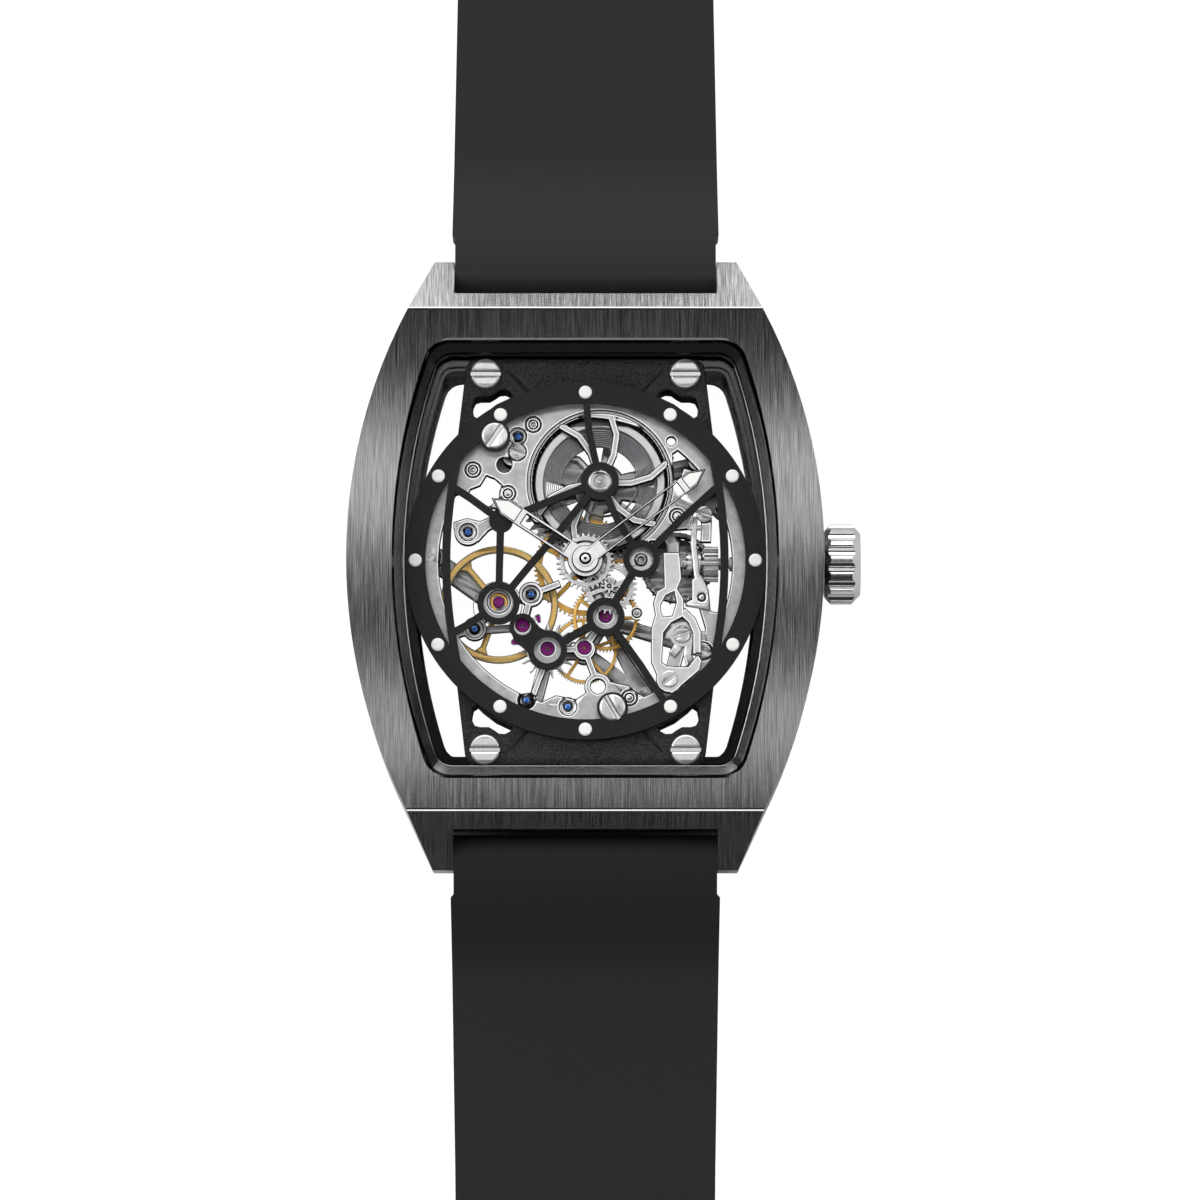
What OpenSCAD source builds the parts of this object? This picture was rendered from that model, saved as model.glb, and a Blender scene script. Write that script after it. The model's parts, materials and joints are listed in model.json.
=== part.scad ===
// Skeleton wristwatch, lying on its back with the dial up.
// X runs from 9 to 3 o'clock, Y from 6 to 12 o'clock, Z from the case back to the crystal.
// The origin is where the axis of the hands meets the back of the case. Sizes are millimetres.

/* [Case] */
// Half width of the case at 3 and 9 o'clock
case_half_w = 20; // [16:0.5:24]
// Radius of the long side arcs of the case
case_side_r = 47; // [40:1:60]
// Distance from the centre to the ridge above each lug slope
ridge_y = 21.2; // [18:0.1:24]
// Distance from the centre to the tips of the lugs
lug_tip_y = 25.9; // [23:0.1:30]
// Height of the top face at the centre
case_top_z = 10.7; // [9:0.1:13]
// Drop of the top face from the centre to the ridge
case_camber = 1.5; // [0.5:0.1:2.5]
// Height of the joint between case middle and bezel
bezel_z = 7.2; // [6.8:0.1:8]
// Half width of the bezel opening
opening_half_w = 16.2; // [14:0.1:17]
// Half height of the bezel opening
opening_half_h = 18.44; // [16:0.1:19.5]

/* [Crown] */
// Crown radius
crown_r = 3.38; // [2.5:0.1:4]
// Crown length
crown_len = 3.1; // [2:0.1:4]
// Number of flutes round the crown
crown_flutes = 14; // [10:1:24]

/* [Movement] */
// Radius of the main plate
plate_r = 13.8; // [12:0.1:14]
// Radius on which the hour markers sit
marker_ring_r = 14.29; // [13:0.1:15]
// Radius of the balance
balance_r = 5; // [4:0.1:5.5]
// Radius of the barrel drum
barrel_r = 5.6; // [4.5:0.1:6]
// Turns of the mainspring
mainspring_turns = 4; // [2:1:6]
// Turns of the hairspring
hairspring_turns = 4; // [2:1:6]

/* [Hands] */
// Length of the hour hand from its axis
hour_len = 9.5; // [7:0.1:10]
// Half width of the hour hand
hour_half_w = 0.78; // [0.6:0.01:1]
// Radius of the hour hand's hub
hour_hub_r = 1.5; // [1.1:0.05:1.7]
// Length of the minute hand from its axis
minute_len = 12.7; // [10:0.1:13]
// Half width of the minute hand
minute_half_w = 0.71; // [0.5:0.01:0.9]
// Radius of the minute hand's hub
minute_hub_r = 1.15; // [0.9:0.05:1.4]

/* [Strap] */
// Width of the strap where it meets the case
strap_w = 22.1; // [18:0.1:24]
// Width of the strap at the buckle
strap_end_w = 20; // [16:0.1:22]
// Length of the buckle side
strap_upper_len = 75; // [60:1:90]
// Length of the side with the holes
strap_lower_len = 115; // [100:1:130]
// Thickness of the strap at its end
strap_t = 2.2; // [1.8:0.1:3]

/* [Hidden] */
$fn = 96;

// Heights of the layers, from the back to the crystal
back_t = 1.6;
case_bottom_z = 1.2;
wheel_back_z = 1.75;
bridge_z = 2.1;
bridge_t = 0.8;
plate_z = 5.2;
plate_top_z = 6;
frame_z = 3.6;
shelf_z = 6.3;
deck_top_z = 6.9;
web_z = 7;
web_top_z = 7.6;
hour_z = 8;
minute_z = 8.5;
crystal_t = 1.2;
crystal_rise = 0.15;
gap = 0.05;
running = 0.04;

// The photograph gives places on the dial. One of its steps is this many millimetres.
step_mm = 0.084;
// The point of the photograph on the axis of the hands, at the height of the dial web
photo_x = 585.4;
photo_y = 560.3;
// The camera leans a little, so a lower part stands higher up by this share of its depth
lean = 0.13;
function at(p, z = 6) = [(p[0] - photo_x) * step_mm, (photo_y - p[1]) * step_mm + lean * (7.3 - z)];
function along(ps, z = 6) = ccw([for (p = ps) at(p, z)]);
// Twice the signed area of an outline, and the outline turned anticlockwise
function turn_sum(ps, i = 0) = i >= len(ps) ? 0 :
  cross(ps[i], ps[(i + 1) % len(ps)]) + turn_sum(ps, i + 1);
function ccw(ps) = turn_sum(ps) < 0 ? [for (i = [len(ps) - 1 : -1 : 0]) ps[i]] : ps;

// Centres of the wheels
centre_at = [0, 0];
barrel_at = [1.23, 6.85];
third_at = [1.69, -4.5];
fourth_at = [-0.08, -7.2];
escape_at = [-3.18, -7.3];
pallet_at = [-5.28, -5.3];
balance_at = [-7.3, -3.3];
minute_at = [2.02, -2.11];
setting_at = [4.68, 0.18];
crown_wheel_at = [7.75, 0];
stem_z = 5;

// Teeth of the wheels
barrel_teeth = 72;
centre_pinion_teeth = 12;
centre_teeth = 64;
third_pinion_teeth = 8;
third_teeth = 60;
fourth_pinion_teeth = 8;
fourth_teeth = 80;
escape_pinion_teeth = 8;
escape_teeth = 15;
cannon_teeth = 10;
minute_teeth = 30;
minute_pinion_teeth = 8;
hour_teeth = 32;
setting_teeth = 18;
ratchet_teeth = 54;
crown_wheel_teeth = 23;
contrate_teeth = 38;
winding_teeth = 20;

// Helpers

// First tooth of a wheel that meshes with another wheel whose first tooth is known
function mate(teeth_a, first_a, a, teeth_b, b) =
  heading(b, a) - (first_a - heading(a, b)) * teeth_a / teeth_b + 180 / teeth_b;
cannon_first = heading(centre_at, minute_at);
minute_first = mate(cannon_teeth, cannon_first, centre_at, minute_teeth, minute_at);
setting_first = mate(minute_teeth, minute_first, minute_at, setting_teeth, setting_at);
motion_m = 2 * norm(minute_at - centre_at) / (cannon_teeth + minute_teeth);

function polar(r, a) = [r * cos(a), r * sin(a)];
function heading(a, b) = atan2(b[1] - a[1], b[0] - a[0]);
function arc(c, r, from, to, n) = [for (i = [0 : n]) c + polar(r, from + (to - from) * i / n)];
function camber_r() = (ridge_y * ridge_y + case_camber * case_camber) / (2 * case_camber);
function side_x(y, half_w, side_r) = sqrt(side_r * side_r - y * y) - (side_r - half_w);

// A tonneau outline: two long side arcs, flat ends and rounded corners
function tonneau(half_w, side_r, half_h, corner_r) =
  let (back = side_r - half_w)
  let (cy = half_h - corner_r)
  let (cx = sqrt(pow(side_r - corner_r, 2) - cy * cy) - back)
  let (turn = asin(cy / (side_r - corner_r)))
  concat(arc([-back, 0], side_r, -turn, turn, 22), arc([cx, cy], corner_r, turn, 90, 4),
    arc([-cx, cy], corner_r, 90, 180 - turn, 4), arc([back, 0], side_r, 180 - turn, 180 + turn, 22),
    arc([-cx, -cy], corner_r, 180 + turn, 270, 4), arc([cx, -cy], corner_r, 270, 360 - turn, 4));

// Outline of a spur wheel with a tooth centred on the angle given
function wheel_points(teeth, m, first = 0, tip = 0.9, root = 1.15) =
  let (pitch = 360 / teeth)
  [for (i = [0 : teeth - 1]) let (a = first + i * pitch) each [
    polar(m * (teeth / 2 - root), a - pitch * 0.3), polar(m * teeth / 2, a - pitch * 0.2),
    polar(m * (teeth / 2 + tip), a - pitch * 0.07), polar(m * (teeth / 2 + tip), a + pitch * 0.07),
    polar(m * teeth / 2, a + pitch * 0.2), polar(m * (teeth / 2 - root), a + pitch * 0.3)]];

module shape(ps) {
  polygon(ccw(ps));
}

module bar(a, b, w) {
  translate(a) rotate(heading(a, b)) translate([0, -w / 2]) square([norm(b - a), w]);
}

module path(ps, w) {
  for (i = [0 : len(ps) - 2]) bar(ps[i], ps[i + 1], w);
  for (i = [1 : len(ps) - 2]) translate(ps[i]) circle(d = w * 1.02);
}

module slab(z, top) {
  translate([0, 0, z]) linear_extrude(height = top - z) children();
}

module rod(p, z, top, r) {
  translate([p[0], p[1], z]) cylinder(h = top - z, r = r);
}

// A slotted screw: a shank below the head, and a straight slot at the angle given
module screw(p, head_z, head_r, head_t, shank_r, shank_z, turn = 0) {
  difference() {
    union() {
      rod(p, head_z, head_z + head_t, head_r);
      rod(p, shank_z, head_z + 0.01, shank_r);
    }
    translate([p[0], p[1], head_z + head_t]) rotate(turn)
      cube([head_r * 3, head_r * 0.26, head_t * 1.3], center = true);
  }
}

// A spoked wheel: toothed rim, hub and straight spokes
module spoked(p, teeth, m, rim_w, hub_r, spokes, spoke_w, first = 0, spoke_turn = 0) {
  rim_r = m * (teeth / 2 - 1.15) - rim_w;
  translate(p) difference() {
    shape(wheel_points(teeth, m, first));
    difference() {
      circle(r = rim_r);
      circle(r = hub_r);
      for (k = [0 : spokes - 1]) rotate(spoke_turn + k * 360 / spokes)
        translate([0, -spoke_w / 2]) square([rim_r + 0.1, spoke_w]);
    }
  }
}

module pinion(p, teeth, m, z, top, first = 0) {
  translate([p[0], p[1], z]) linear_extrude(height = top - z)
    shape(wheel_points(teeth, m, first, 0.8, 1.1));
}

// Case

module case_plan() {
  shape(tonneau_lugs());
}

// Outline of the case with its lugs: side arcs up to the ridge, then straight to the lug tips
strap_play = 0.05;
lug_gap_x = strap_w / 2 + strap_play;
lug_tip_t = 1.7;
lug_tip_x = lug_gap_x + lug_tip_t;
bar_hole_depth = 1.5;
wall_y = 22.7;
function right_side(from, to, n) = [for (i = [0 : n]) let (y = from + (to - from) * i / n)
  [side_x(y, case_half_w, case_side_r), y]];
function tonneau_lugs() =
  let (right = right_side(-ridge_y, ridge_y, 26))
  concat([[lug_tip_x, -lug_tip_y]], right, [[lug_tip_x, lug_tip_y], [lug_gap_x, lug_tip_y],
    [lug_gap_x, wall_y],
    [-lug_gap_x, wall_y], [-lug_gap_x, lug_tip_y], [-lug_tip_x, lug_tip_y]],
    [for (i = [26 : -1 : 0]) [-right[i][0], right[i][1]]], [[-lug_tip_x, -lug_tip_y],
    [-lug_gap_x, -lug_tip_y], [-lug_gap_x, -wall_y], [lug_gap_x, -wall_y], [lug_gap_x, -lug_tip_y]]);

ridge_z = case_top_z - case_camber;
lug_tip_z = 4.85;
inner_half_w = 14.5;
inner_side_r = 50;
inner_half_h = 16.4;
pocket_half_w = 17;
pocket_side_r = 55;
pocket_half_h = 19.2;
back_half_w = 18.15;
back_half_h = 18.95;
back_play = 0.05;
bar_y = 24.6;
bar_z = 4;
bar_r = 0.75;
bar_pin_r = 0.4;
opening_side_r = 55;
stem_hole_r = 0.72;
tube_r = 1.2;

// Slice of the case seen from the side, in Y and Z
module side_profile(points) {
  rotate([90, 0, 90]) translate([0, 0, -30]) linear_extrude(height = 60) shape(points);
}

module case_middle() {
  color([0.16, 0.16, 0.17]) difference() {
    union() {
      case_shell();
      translate([16.5, 0, stem_z]) rotate([0, 90, 0]) cylinder(h = case_half_w - 16.5 + 0.6, r = tube_r);
    }
    translate([10, 0, stem_z]) rotate([0, 90, 0]) cylinder(h = 30, r = stem_hole_r);
  }
}

module case_shell() {
  difference() {
    intersection() {
      slab(case_bottom_z, ridge_z) case_plan();
      side_profile([[-lug_tip_y, case_bottom_z + 1], [-lug_tip_y, lug_tip_z], [-ridge_y, ridge_z],
        [-ridge_y, bezel_z], [ridge_y, bezel_z], [ridge_y, ridge_z], [lug_tip_y, lug_tip_z],
        [lug_tip_y, case_bottom_z + 1], [lug_tip_y - 1.6, case_bottom_z],
        [-lug_tip_y + 1.6, case_bottom_z]]);
    }
    slab(case_bottom_z - 1, bezel_z + 1) shape(tonneau(inner_half_w, inner_side_r, inner_half_h, 1));
    slab(shelf_z - 0.6, bezel_z + 1)
      shape(tonneau(inner_half_w + 0.35, inner_side_r, inner_half_h + 0.3, 1.2));
    slab(shelf_z, bezel_z + 1) shape(tonneau(pocket_half_w - 0.9, pocket_side_r, 18.3, 1.6));
    slab(case_bottom_z - 1, back_t)
      shape(tonneau(back_half_w + back_play, case_side_r, back_half_h + back_play, 2));
    for (side = [-1, 1]) translate([0, side * bar_y, bar_z]) rotate([0, 90, 0])
      cylinder(h = 2 * (lug_gap_x + bar_hole_depth), r = bar_pin_r + 0.02, center = true);
    for (p = frame_screw_at) rod(p, shelf_z - 2.2, shelf_z + 1, 0.5);
    for (p = back_screw_at) rod(p, 0, 4.2, 0.5);
  }
}

module camber_block(drop, length) {
  r = camber_r() - drop;
  translate([0, 0, case_top_z - camber_r()]) rotate([0, 90, 0])
    cylinder(h = length, r = r, center = true, $fn = 360);
}

opening = tonneau(opening_half_w, opening_side_r, opening_half_h, 2);
module bezel() {
  color([0.18, 0.18, 0.19]) difference() {
    intersection() {
      slab(bezel_z, case_top_z + 1) shape(concat(right_side(-ridge_y, ridge_y, 26),
        [for (p = right_side(ridge_y, -ridge_y, 26)) [-p[0], p[1]]]));
      camber_block(0, 60);
    }
    slab(bezel_z - 1, case_top_z + 2) shape(opening);
    intersection() {
      slab(bezel_z - 1, case_top_z) shape(tonneau(pocket_half_w, pocket_side_r, pocket_half_h, 2));
      camber_block(crystal_t + 0.1, 60);
    }
  }
}

module front_crystal() {
  color([0.85, 0.9, 0.95, 0.35]) difference() {
    intersection() {
      slab(bezel_z, case_top_z + 1) shape(tonneau(opening_half_w - gap, 55, opening_half_h - gap, 1.95));
      camber_block(-crystal_rise, 60);
    }
    camber_block(crystal_t, 60);
  }
}

// The inner flange slopes from the pocket's floor out to the opening under the crystal
flange_foot_half_w = 15.22;
flange_foot_half_h = 17.37;
module rehaut() {
  color([0.08, 0.08, 0.09]) difference() {
    intersection() {
      slab(bezel_z, case_top_z) shape(tonneau(pocket_half_w, pocket_side_r, pocket_half_h, 2));
      camber_block(crystal_t + 0.1, 60);
    }
    hull() {
      slab(bezel_z - 0.2, bezel_z - 0.1) shape(tonneau(flange_foot_half_w, opening_side_r, flange_foot_half_h, 1.4));
      slab(bezel_z + 2.4, bezel_z + 2.5) shape(tonneau(opening_half_w, opening_side_r, opening_half_h, 2));
    }
  }
}

back_screw_x = 14.4;
back_screw_y = 15.3;
back_screw_at = [for (sx = [-1, 1]) for (sy = [-1, 1]) [sx * back_screw_x, sy * back_screw_y]];
window_half_w = 14.26;
window_half_h = 16.15;
module case_back() {
  color([0.5, 0.5, 0.52]) difference() {
    slab(0, back_t) shape(tonneau(back_half_w, case_side_r, back_half_h, 2));
    slab(-1, back_t + 1) shape(tonneau(window_half_w, inner_side_r, window_half_h, 1.5));
    for (p = back_screw_at) {
      rod(p, -1, 3, 0.55);
      rod(p, -1, 0.7, 1.05);
    }
  }
}

module back_crystal() {
  color([0.85, 0.9, 0.95, 0.35]) slab(0, 0.9)
    shape(tonneau(window_half_w, inner_side_r, window_half_h, 1.5));
}

module case_back_screws() {
  color([0.6, 0.6, 0.62]) for (p = back_screw_at) difference() {
    union() {
      rod(p, 0.05, 0.7, 1);
      rod(p, 0.6, 4, 0.5);
    }
    translate([p[0], p[1], 0]) rotate(35) cube([3, 0.3, 0.6], center = true);
  }
}

// Crown and winding work

crown_x = 20.05;
module crown() {
  color([0.75, 0.75, 0.77]) translate([crown_x, 0, stem_z]) rotate([0, 90, 0]) difference() {
    union() {
      translate([0, 0, 0.08]) cylinder(h = 0.5, r1 = crown_r - 0.6, r2 = crown_r);
      translate([0, 0, 0.58]) cylinder(h = crown_len - 1.3, r = crown_r);
      translate([0, 0, crown_len - 0.72]) cylinder(h = 0.72, r1 = crown_r, r2 = crown_r - 0.75);
    }
    for (k = [0 : crown_flutes - 1]) rotate((k + 0.5) * 360 / crown_flutes)
      translate([crown_r + 0.42, 0, -1]) cylinder(h = crown_len + 2, r = 0.68, $fn = 32);
    translate([0, 0, -1]) cylinder(h = 1.9, r = tube_r + running);
    translate([0, 0, 0.5]) cylinder(h = 1.2, r = 0.6);
  }
}

stem_in_x = 8.25;
module winding_stem() {
  color([0.8, 0.8, 0.82]) {
    translate([stem_in_x, 0, stem_z]) rotate([0, 90, 0]) union() {
      translate([0, 0, 0]) cylinder(h = 1.9, r = 0.42);
      translate([0, 0, 1.8]) cylinder(h = 1.45, r = 0.5);
      translate([0, 0, 3.2]) cylinder(h = 0.35, r = 0.6);
      translate([0, 0, 3.5]) cylinder(h = 0.4, r = 0.38);
      translate([0, 0, 3.9]) cylinder(h = crown_x - stem_in_x - 3.9 + 1.7, r = 0.6);
    }
  }
}

winding_x = 10;
winding_len = 1.2;
module winding_pinion() {
  color([0.8, 0.8, 0.82]) translate([winding_x, 0, stem_z]) rotate([0, 90, 0]) difference() {
    union() {
      linear_extrude(height = winding_len) shape(wheel_points(winding_teeth, 0.14, 9, 0.7, 1));
      for (k = [0 : 11]) rotate(k * 30) translate([0.8, -0.12, -0.12]) cube([0.4, 0.24, 0.2]);
    }
    translate([0, 0, -1]) cylinder(h = 3, r = 0.5 + running);
  }
}

clutch_x = 8.6;
clutch_len = 1.1;
module sliding_clutch() {
  color([0.8, 0.8, 0.82]) translate([clutch_x, 0, stem_z]) rotate([0, 90, 0]) difference() {
    union() {
      cylinder(h = 0.35, r = 1.1);
      translate([0, 0, 0.3]) cylinder(h = 0.45, r = 0.8);
      translate([0, 0, 0.7]) cylinder(h = clutch_len - 0.7, r = 1.15);
      for (k = [0 : 13]) rotate(k * 360 / 14) translate([0.8, -0.1, -0.1]) cube([0.3, 0.2, 0.2]);
    }
    translate([0, 0, -1]) cylinder(h = 3, r = 0.42 + running);
  }
}

lever_at = at([682.3, 635.5]);
cover_screw_at = at([669.5, 681]);
cover_top_z = 6.85;
module setting_lever() {
  color([0.82, 0.82, 0.84]) slab(plate_top_z + gap, plate_top_z + 0.4) difference() {
    union() {
      translate(lever_at) circle(r = 1.1);
      path(along([[666, 640], [670, 627], [680, 619], [688, 624], [690, 640], [688, 656],
        [691, 666]]), 0.75);
      path(along([[682, 635], [677, 650], [672, 656]]), 0.7);
    }
    translate(lever_at) circle(r = 0.45);
  }
}

yoke_at = at([702, 598]);
module yoke() {
  color([0.82, 0.82, 0.84]) slab(plate_top_z + 0.2, plate_top_z + 0.45) difference() {
    union() {
      path(along([[695, 516], [694, 545], [697, 575], [702, 596]]), 0.5);
      shape(along([[692, 580], [701, 575], [709, 590], [711, 611], [686, 607], [685, 603], [692, 600]]));
      shape(along([[687, 525], [703, 525], [702, 530], [688, 530]]));
    }
    translate(yoke_at) circle(r = 0.35);
  }
}

// The polished cover of the setting work, with its spring arms
module keyless_cover() {
  color([0.85, 0.85, 0.87]) slab(plate_top_z + 0.5, cover_top_z) difference() {
    union() {
      shape(along([[663, 553], [680, 553], [682, 580], [678, 590], [684, 600], [684, 618], [672, 624],
        [664, 634], [662, 664], [668, 668], [688, 668], [698, 655], [702, 662], [700, 672], [672, 696],
        [662, 690], [651, 664], [651, 630], [655, 616], [653, 604], [657, 592], [664, 588]]));
      path(along([[682, 612], [692, 622], [697, 634], [697, 656]]), 0.75);
      translate(cover_screw_at) circle(r = 1.15);
    }
    shape(along([[661, 606], [666, 597], [674, 593], [676, 604], [672, 617], [663, 618], [661, 612]]));
    translate(cover_screw_at) circle(r = screw_r);
  }
}

module setting_wheel() {
  color([0.8, 0.8, 0.82]) slab(plate_top_z + 0.15, plate_top_z + 0.4) difference() {
    translate(setting_at) shape(wheel_points(setting_teeth, motion_m, setting_first));
    translate(setting_at) circle(r = 0.5 + running);
  }
}

// Crown wheel: a spur rim at the back drives the ratchet wheel, and a ring rises below the winding pinion
contrate_r = 2.6;
contrate_w = 0.35;
core_r = 0.4;
ratchet_m = 2 * norm(crown_wheel_at - barrel_at) / (ratchet_teeth + crown_wheel_teeth);
to_ratchet = heading(crown_wheel_at, barrel_at);
module crown_wheel() {
  color([0.8, 0.8, 0.82]) {
    difference() {
      union() {
        slab(wheel_back_z, 2.05) translate(crown_wheel_at)
          shape(wheel_points(crown_wheel_teeth, ratchet_m, to_ratchet));
        slab(2, 3.25) translate(crown_wheel_at) difference() {
          circle(r = contrate_r + contrate_w);
          circle(r = contrate_r);
        }
        for (k = [0 : contrate_teeth - 1]) translate([crown_wheel_at[0], crown_wheel_at[1], 3.15])
          rotate(k * 360 / contrate_teeth) translate([contrate_r, -0.1, 0]) cube([contrate_w, 0.2, 0.3]);
      }
      rod(crown_wheel_at, 0, 4, core_r + running);
    }
  }
}

module crown_wheel_core() {
  color([0.8, 0.8, 0.82]) {
    rod(crown_wheel_at, wheel_back_z - 0.25, wheel_back_z - 0.03, 0.9);
    rod(crown_wheel_at, wheel_back_z - 0.05, plate_z, core_r);
  }
}

module ratchet_wheel() {
  color([0.82, 0.82, 0.84]) slab(wheel_back_z, 2.05) difference() {
    spoked(barrel_at, ratchet_teeth, ratchet_m, 0.9, 1.5, 6, 0.7, to_ratchet + 180 + 180 / ratchet_teeth, 20);
    translate(barrel_at) square(1, center = true);
  }
}

click_at = [-7.05, 8.6];
click_tip = barrel_at + polar(6.9, 176);
module click() {
  color([0.8, 0.8, 0.82]) slab(wheel_back_z, 2.05) difference() {
    union() {
      translate(click_at) circle(r = 0.75);
      shape([click_at + [-0.5, 0], click_at + [0.6, 0.3], click_tip + [0, 0.12], click_tip]);
    }
    translate(click_at) circle(r = 0.3 + running);
  }
}

// Plates and bridges

barrel_window_r = 5.8;
hub_r = 1.6;
arm_turns = [105, 62, -3, -57, -130, 188];
blue_at = [[517.5, 434], [467.5, 531], [531, 594], [474.5, 629], [526.5, 701], [568, 707.5]];
pin_at = [[533, 422], [472.5, 468], [507.5, 492], [629.5, 698.5], [677.5, 515], [637, 613]];
plate_screw_at = [[517, 450], [705, 513], [703.5, 651.5]];
open_hole_at = [[504, 463], [671.5, 439], [598, 687]];
screw_r = 0.5;
pin_r = 0.45;
jewel_r = 0.55;
dial_screw_at = [at([494.5, 434.5], 7.3), at([612.5, 708.5], 7.3)];
dial_screw_turn = [56, -60];

// The broad field round the barrel
upper_field = along([[428, 500], [462, 492], [480, 505], [500, 508], [520, 505], [534, 521], [560, 528],
  [585, 524], [615, 530], [640, 541], [660, 540], [668, 530], [690, 528], [694, 512], [706, 498],
  [745, 480], [745, 380], [428, 380]]);
notch_left = along([[470, 488], [480, 484], [486, 474], [494, 477], [501, 483], [498, 498],
  [488, 506], [468, 493]]);
notch_rim = along([[527, 398], [548, 401], [562, 403], [556, 416], [543, 417], [532, 410]]);
slot_right = along([[673, 452], [680, 447], [688, 450], [702, 466], [696, 470], [684, 466],
  [680, 478], [675, 478]]);
lower_field = along([[500, 684], [516, 695], [530, 693], [541, 703], [556, 696], [576, 700], [588, 692],
  [586, 680], [597, 674], [610, 682], [628, 686], [642, 696], [656, 704], [640, 735], [540, 735],
  [496, 712]]);
left_lobe = along([[453, 521], [466, 517], [480, 520], [497, 512], [502, 522], [488, 530],
  [478, 541], [458, 541], [453, 527]]);

// Arms that carry the jewels, hidden below the bars of the dial web where the photograph shows them
plate_arms = [[[605.5, 617], [547.5, 650.5]], [[547.5, 650.5], [522.5, 627]], [[522.5, 627],
  [498.5, 603.5]],
  [[498.5, 603.5], [500, 520]], [[605.5, 617], [641.5, 558.5]], [[641.5, 558.5], [648, 535]],
  [[584.5, 649.5], [605.5, 617]], [[584.5, 649.5], [596, 680]], [[547.5, 650.5], [584.5, 649.5]],
  [[605.5, 617], [655, 690]], [[531, 594], [560, 583]], [[531, 594], [522.5, 627]],
  [[474.5, 629], [498.5, 603.5]], [[440, 640], [474.5, 629]]];
boss_at = [[605.5, 617, 1.5], [547.5, 650.5, 1.5], [522.5, 627, 1.05], [498.5, 603.5, 1.7],
  [641.5, 558.5, 1.4],
  [584.5, 649.5, 0.95], [531, 594, 1.05], [474.5, 629, 1], [467.5, 531, 1.15], [598, 687, 1.15]];
jewel_at = [third_at, fourth_at, escape_at, pallet_at];

module plate_plan() {
  difference() {
    union() {
      difference() {
        circle(r = plate_r);
        circle(r = 12.35);
      }
      intersection() {
        circle(r = plate_r - 0.1);
        difference() {
          shape(upper_field);
          translate(barrel_at) circle(r = barrel_window_r);
          shape(notch_left);
          shape(notch_rim);
          shape(slot_right);
        }
      }
      intersection() {
        circle(r = plate_r - 0.1);
        shape(lower_field);
      }
      shape(left_lobe);
      for (a = arm_turns) translate(barrel_at)
        path([polar(1.2, a), polar(2.6, a + 2), polar(4.3, a + 9), polar(6, a + 20)], 0.6);
      translate(barrel_at) circle(r = hub_r);
      intersection() {
        circle(r = plate_r - 0.1);
        union() {
          for (b = boss_at) translate(at(b)) circle(r = b[2]);
          for (a = plate_arms) bar(at(a[0]), at(a[1]), 0.6);
          path(along([[548, 652], [544, 668], [539, 680], [531, 703]]), 0.55);
          path(along([[700, 505], [707, 520], [706, 546]]), 0.9);
          path(along([[700, 690], [706, 660], [712, 640], [716, 612]]), 1.4);
          path(along([[672, 700], [669.5, 681], [700, 672]]), 1.6);
          path(along([[710, 640], [682.3, 635.5], [669.5, 681]]), 1.2);
          path(along([[712, 632], [702, 598]]), 0.9);
        }
      }
      translate(yoke_at) circle(r = 0.6);
      translate(lever_at) circle(r = 0.9);
      translate(cover_screw_at) circle(r = 1.1);
      circle(r = 1.3);
      bar(centre_at, minute_at, 0.9);
      translate(minute_at) circle(r = 0.6);
      translate(setting_at) circle(r = 0.9);
    }
    translate(barrel_at) circle(r = 1 + running);
    for (p = blue_at) translate(at(p)) circle(r = screw_r);
    for (p = pin_at) translate(at(p)) circle(r = pin_r);
    for (p = plate_screw_at) translate(at(p)) circle(r = screw_r);
    for (p = open_hole_at) translate(at(p)) circle(r = p[0] == 671.5 ? 0.38 : 0.62);
    for (p = dial_screw_at) translate(p) circle(r = 0.5);
    for (p = jewel_at) translate(p) circle(r = jewel_r);
    translate(balance_at) circle(r = 0.95);
    translate(centre_at) circle(r = 0.5);
    translate(setting_at) circle(r = 0.3);
    translate(cover_screw_at) circle(r = screw_r - 0.02);
    translate(lever_at) circle(r = 0.4);
  }
}

// Clear way for the stem and the winding pinions
module stem_way() {
  translate([8.1, -1.75, plate_z - 2]) cube([3.35, 3.5, 3]);
  translate([11, 0, stem_z]) rotate([0, 90, 0]) cylinder(h = 4, r = 0.7);
}

module main_plate() {
  color([0.8, 0.8, 0.81]) {
    difference() {
      slab(plate_z, plate_top_z) plate_plan();
      stem_way();
      slab(plate_top_z - 0.18, plate_top_z + 1) translate(barrel_at) difference() {
        circle(r = barrel_window_r + 0.32);
        circle(r = barrel_window_r + 0.14);
      }
      for (p = blue_at) rod(at(p), plate_top_z - 0.25, 7, 0.72);
      for (p = pin_at) rod(at(p), plate_top_z - 0.2, 7, 0.66);
      for (p = plate_screw_at) rod(at(p), plate_top_z - 0.25, 7, 0.74);
      rod(centre_at, plate_z - 1, 7, 0.6);
    }
    difference() {
      rod(setting_at, plate_z + 0.1, plate_top_z + 0.5, 0.5);
      rod(setting_at, plate_top_z + 0.2, 7, 0.22);
    }
    rod(yoke_at, plate_top_z - 0.1, plate_top_z + 0.5, 0.3);
    rod(minute_at, plate_top_z - 0.1, plate_top_z + 0.92, 0.16);
    slab(plate_top_z - 0.05, plate_top_z + 0.5) translate(cover_screw_at) difference() {
      circle(r = 1.1);
      circle(r = screw_r - 0.02);
    }
    slab(plate_z - 0.001, plate_z + 0.35) bar([7.4, -1], [7.4, 1.9], 1.1);
    slab(plate_z, plate_z + 0.35) bar([7.4, 1.6], at([668, 533]), 1);
    difference() {
      slab(plate_z, plate_top_z - 0.1) bar([0, 0], at([605.5, 617]), 1.1);
      rod(centre_at, plate_z - 1, 7, 0.6);
      rod(third_at, plate_z - 1, 7, jewel_r);
    }
    for (p = pillar_at) rod(p, bridge_z + bridge_t, plate_z + 0.02, pillar_r);
  }
}

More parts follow.
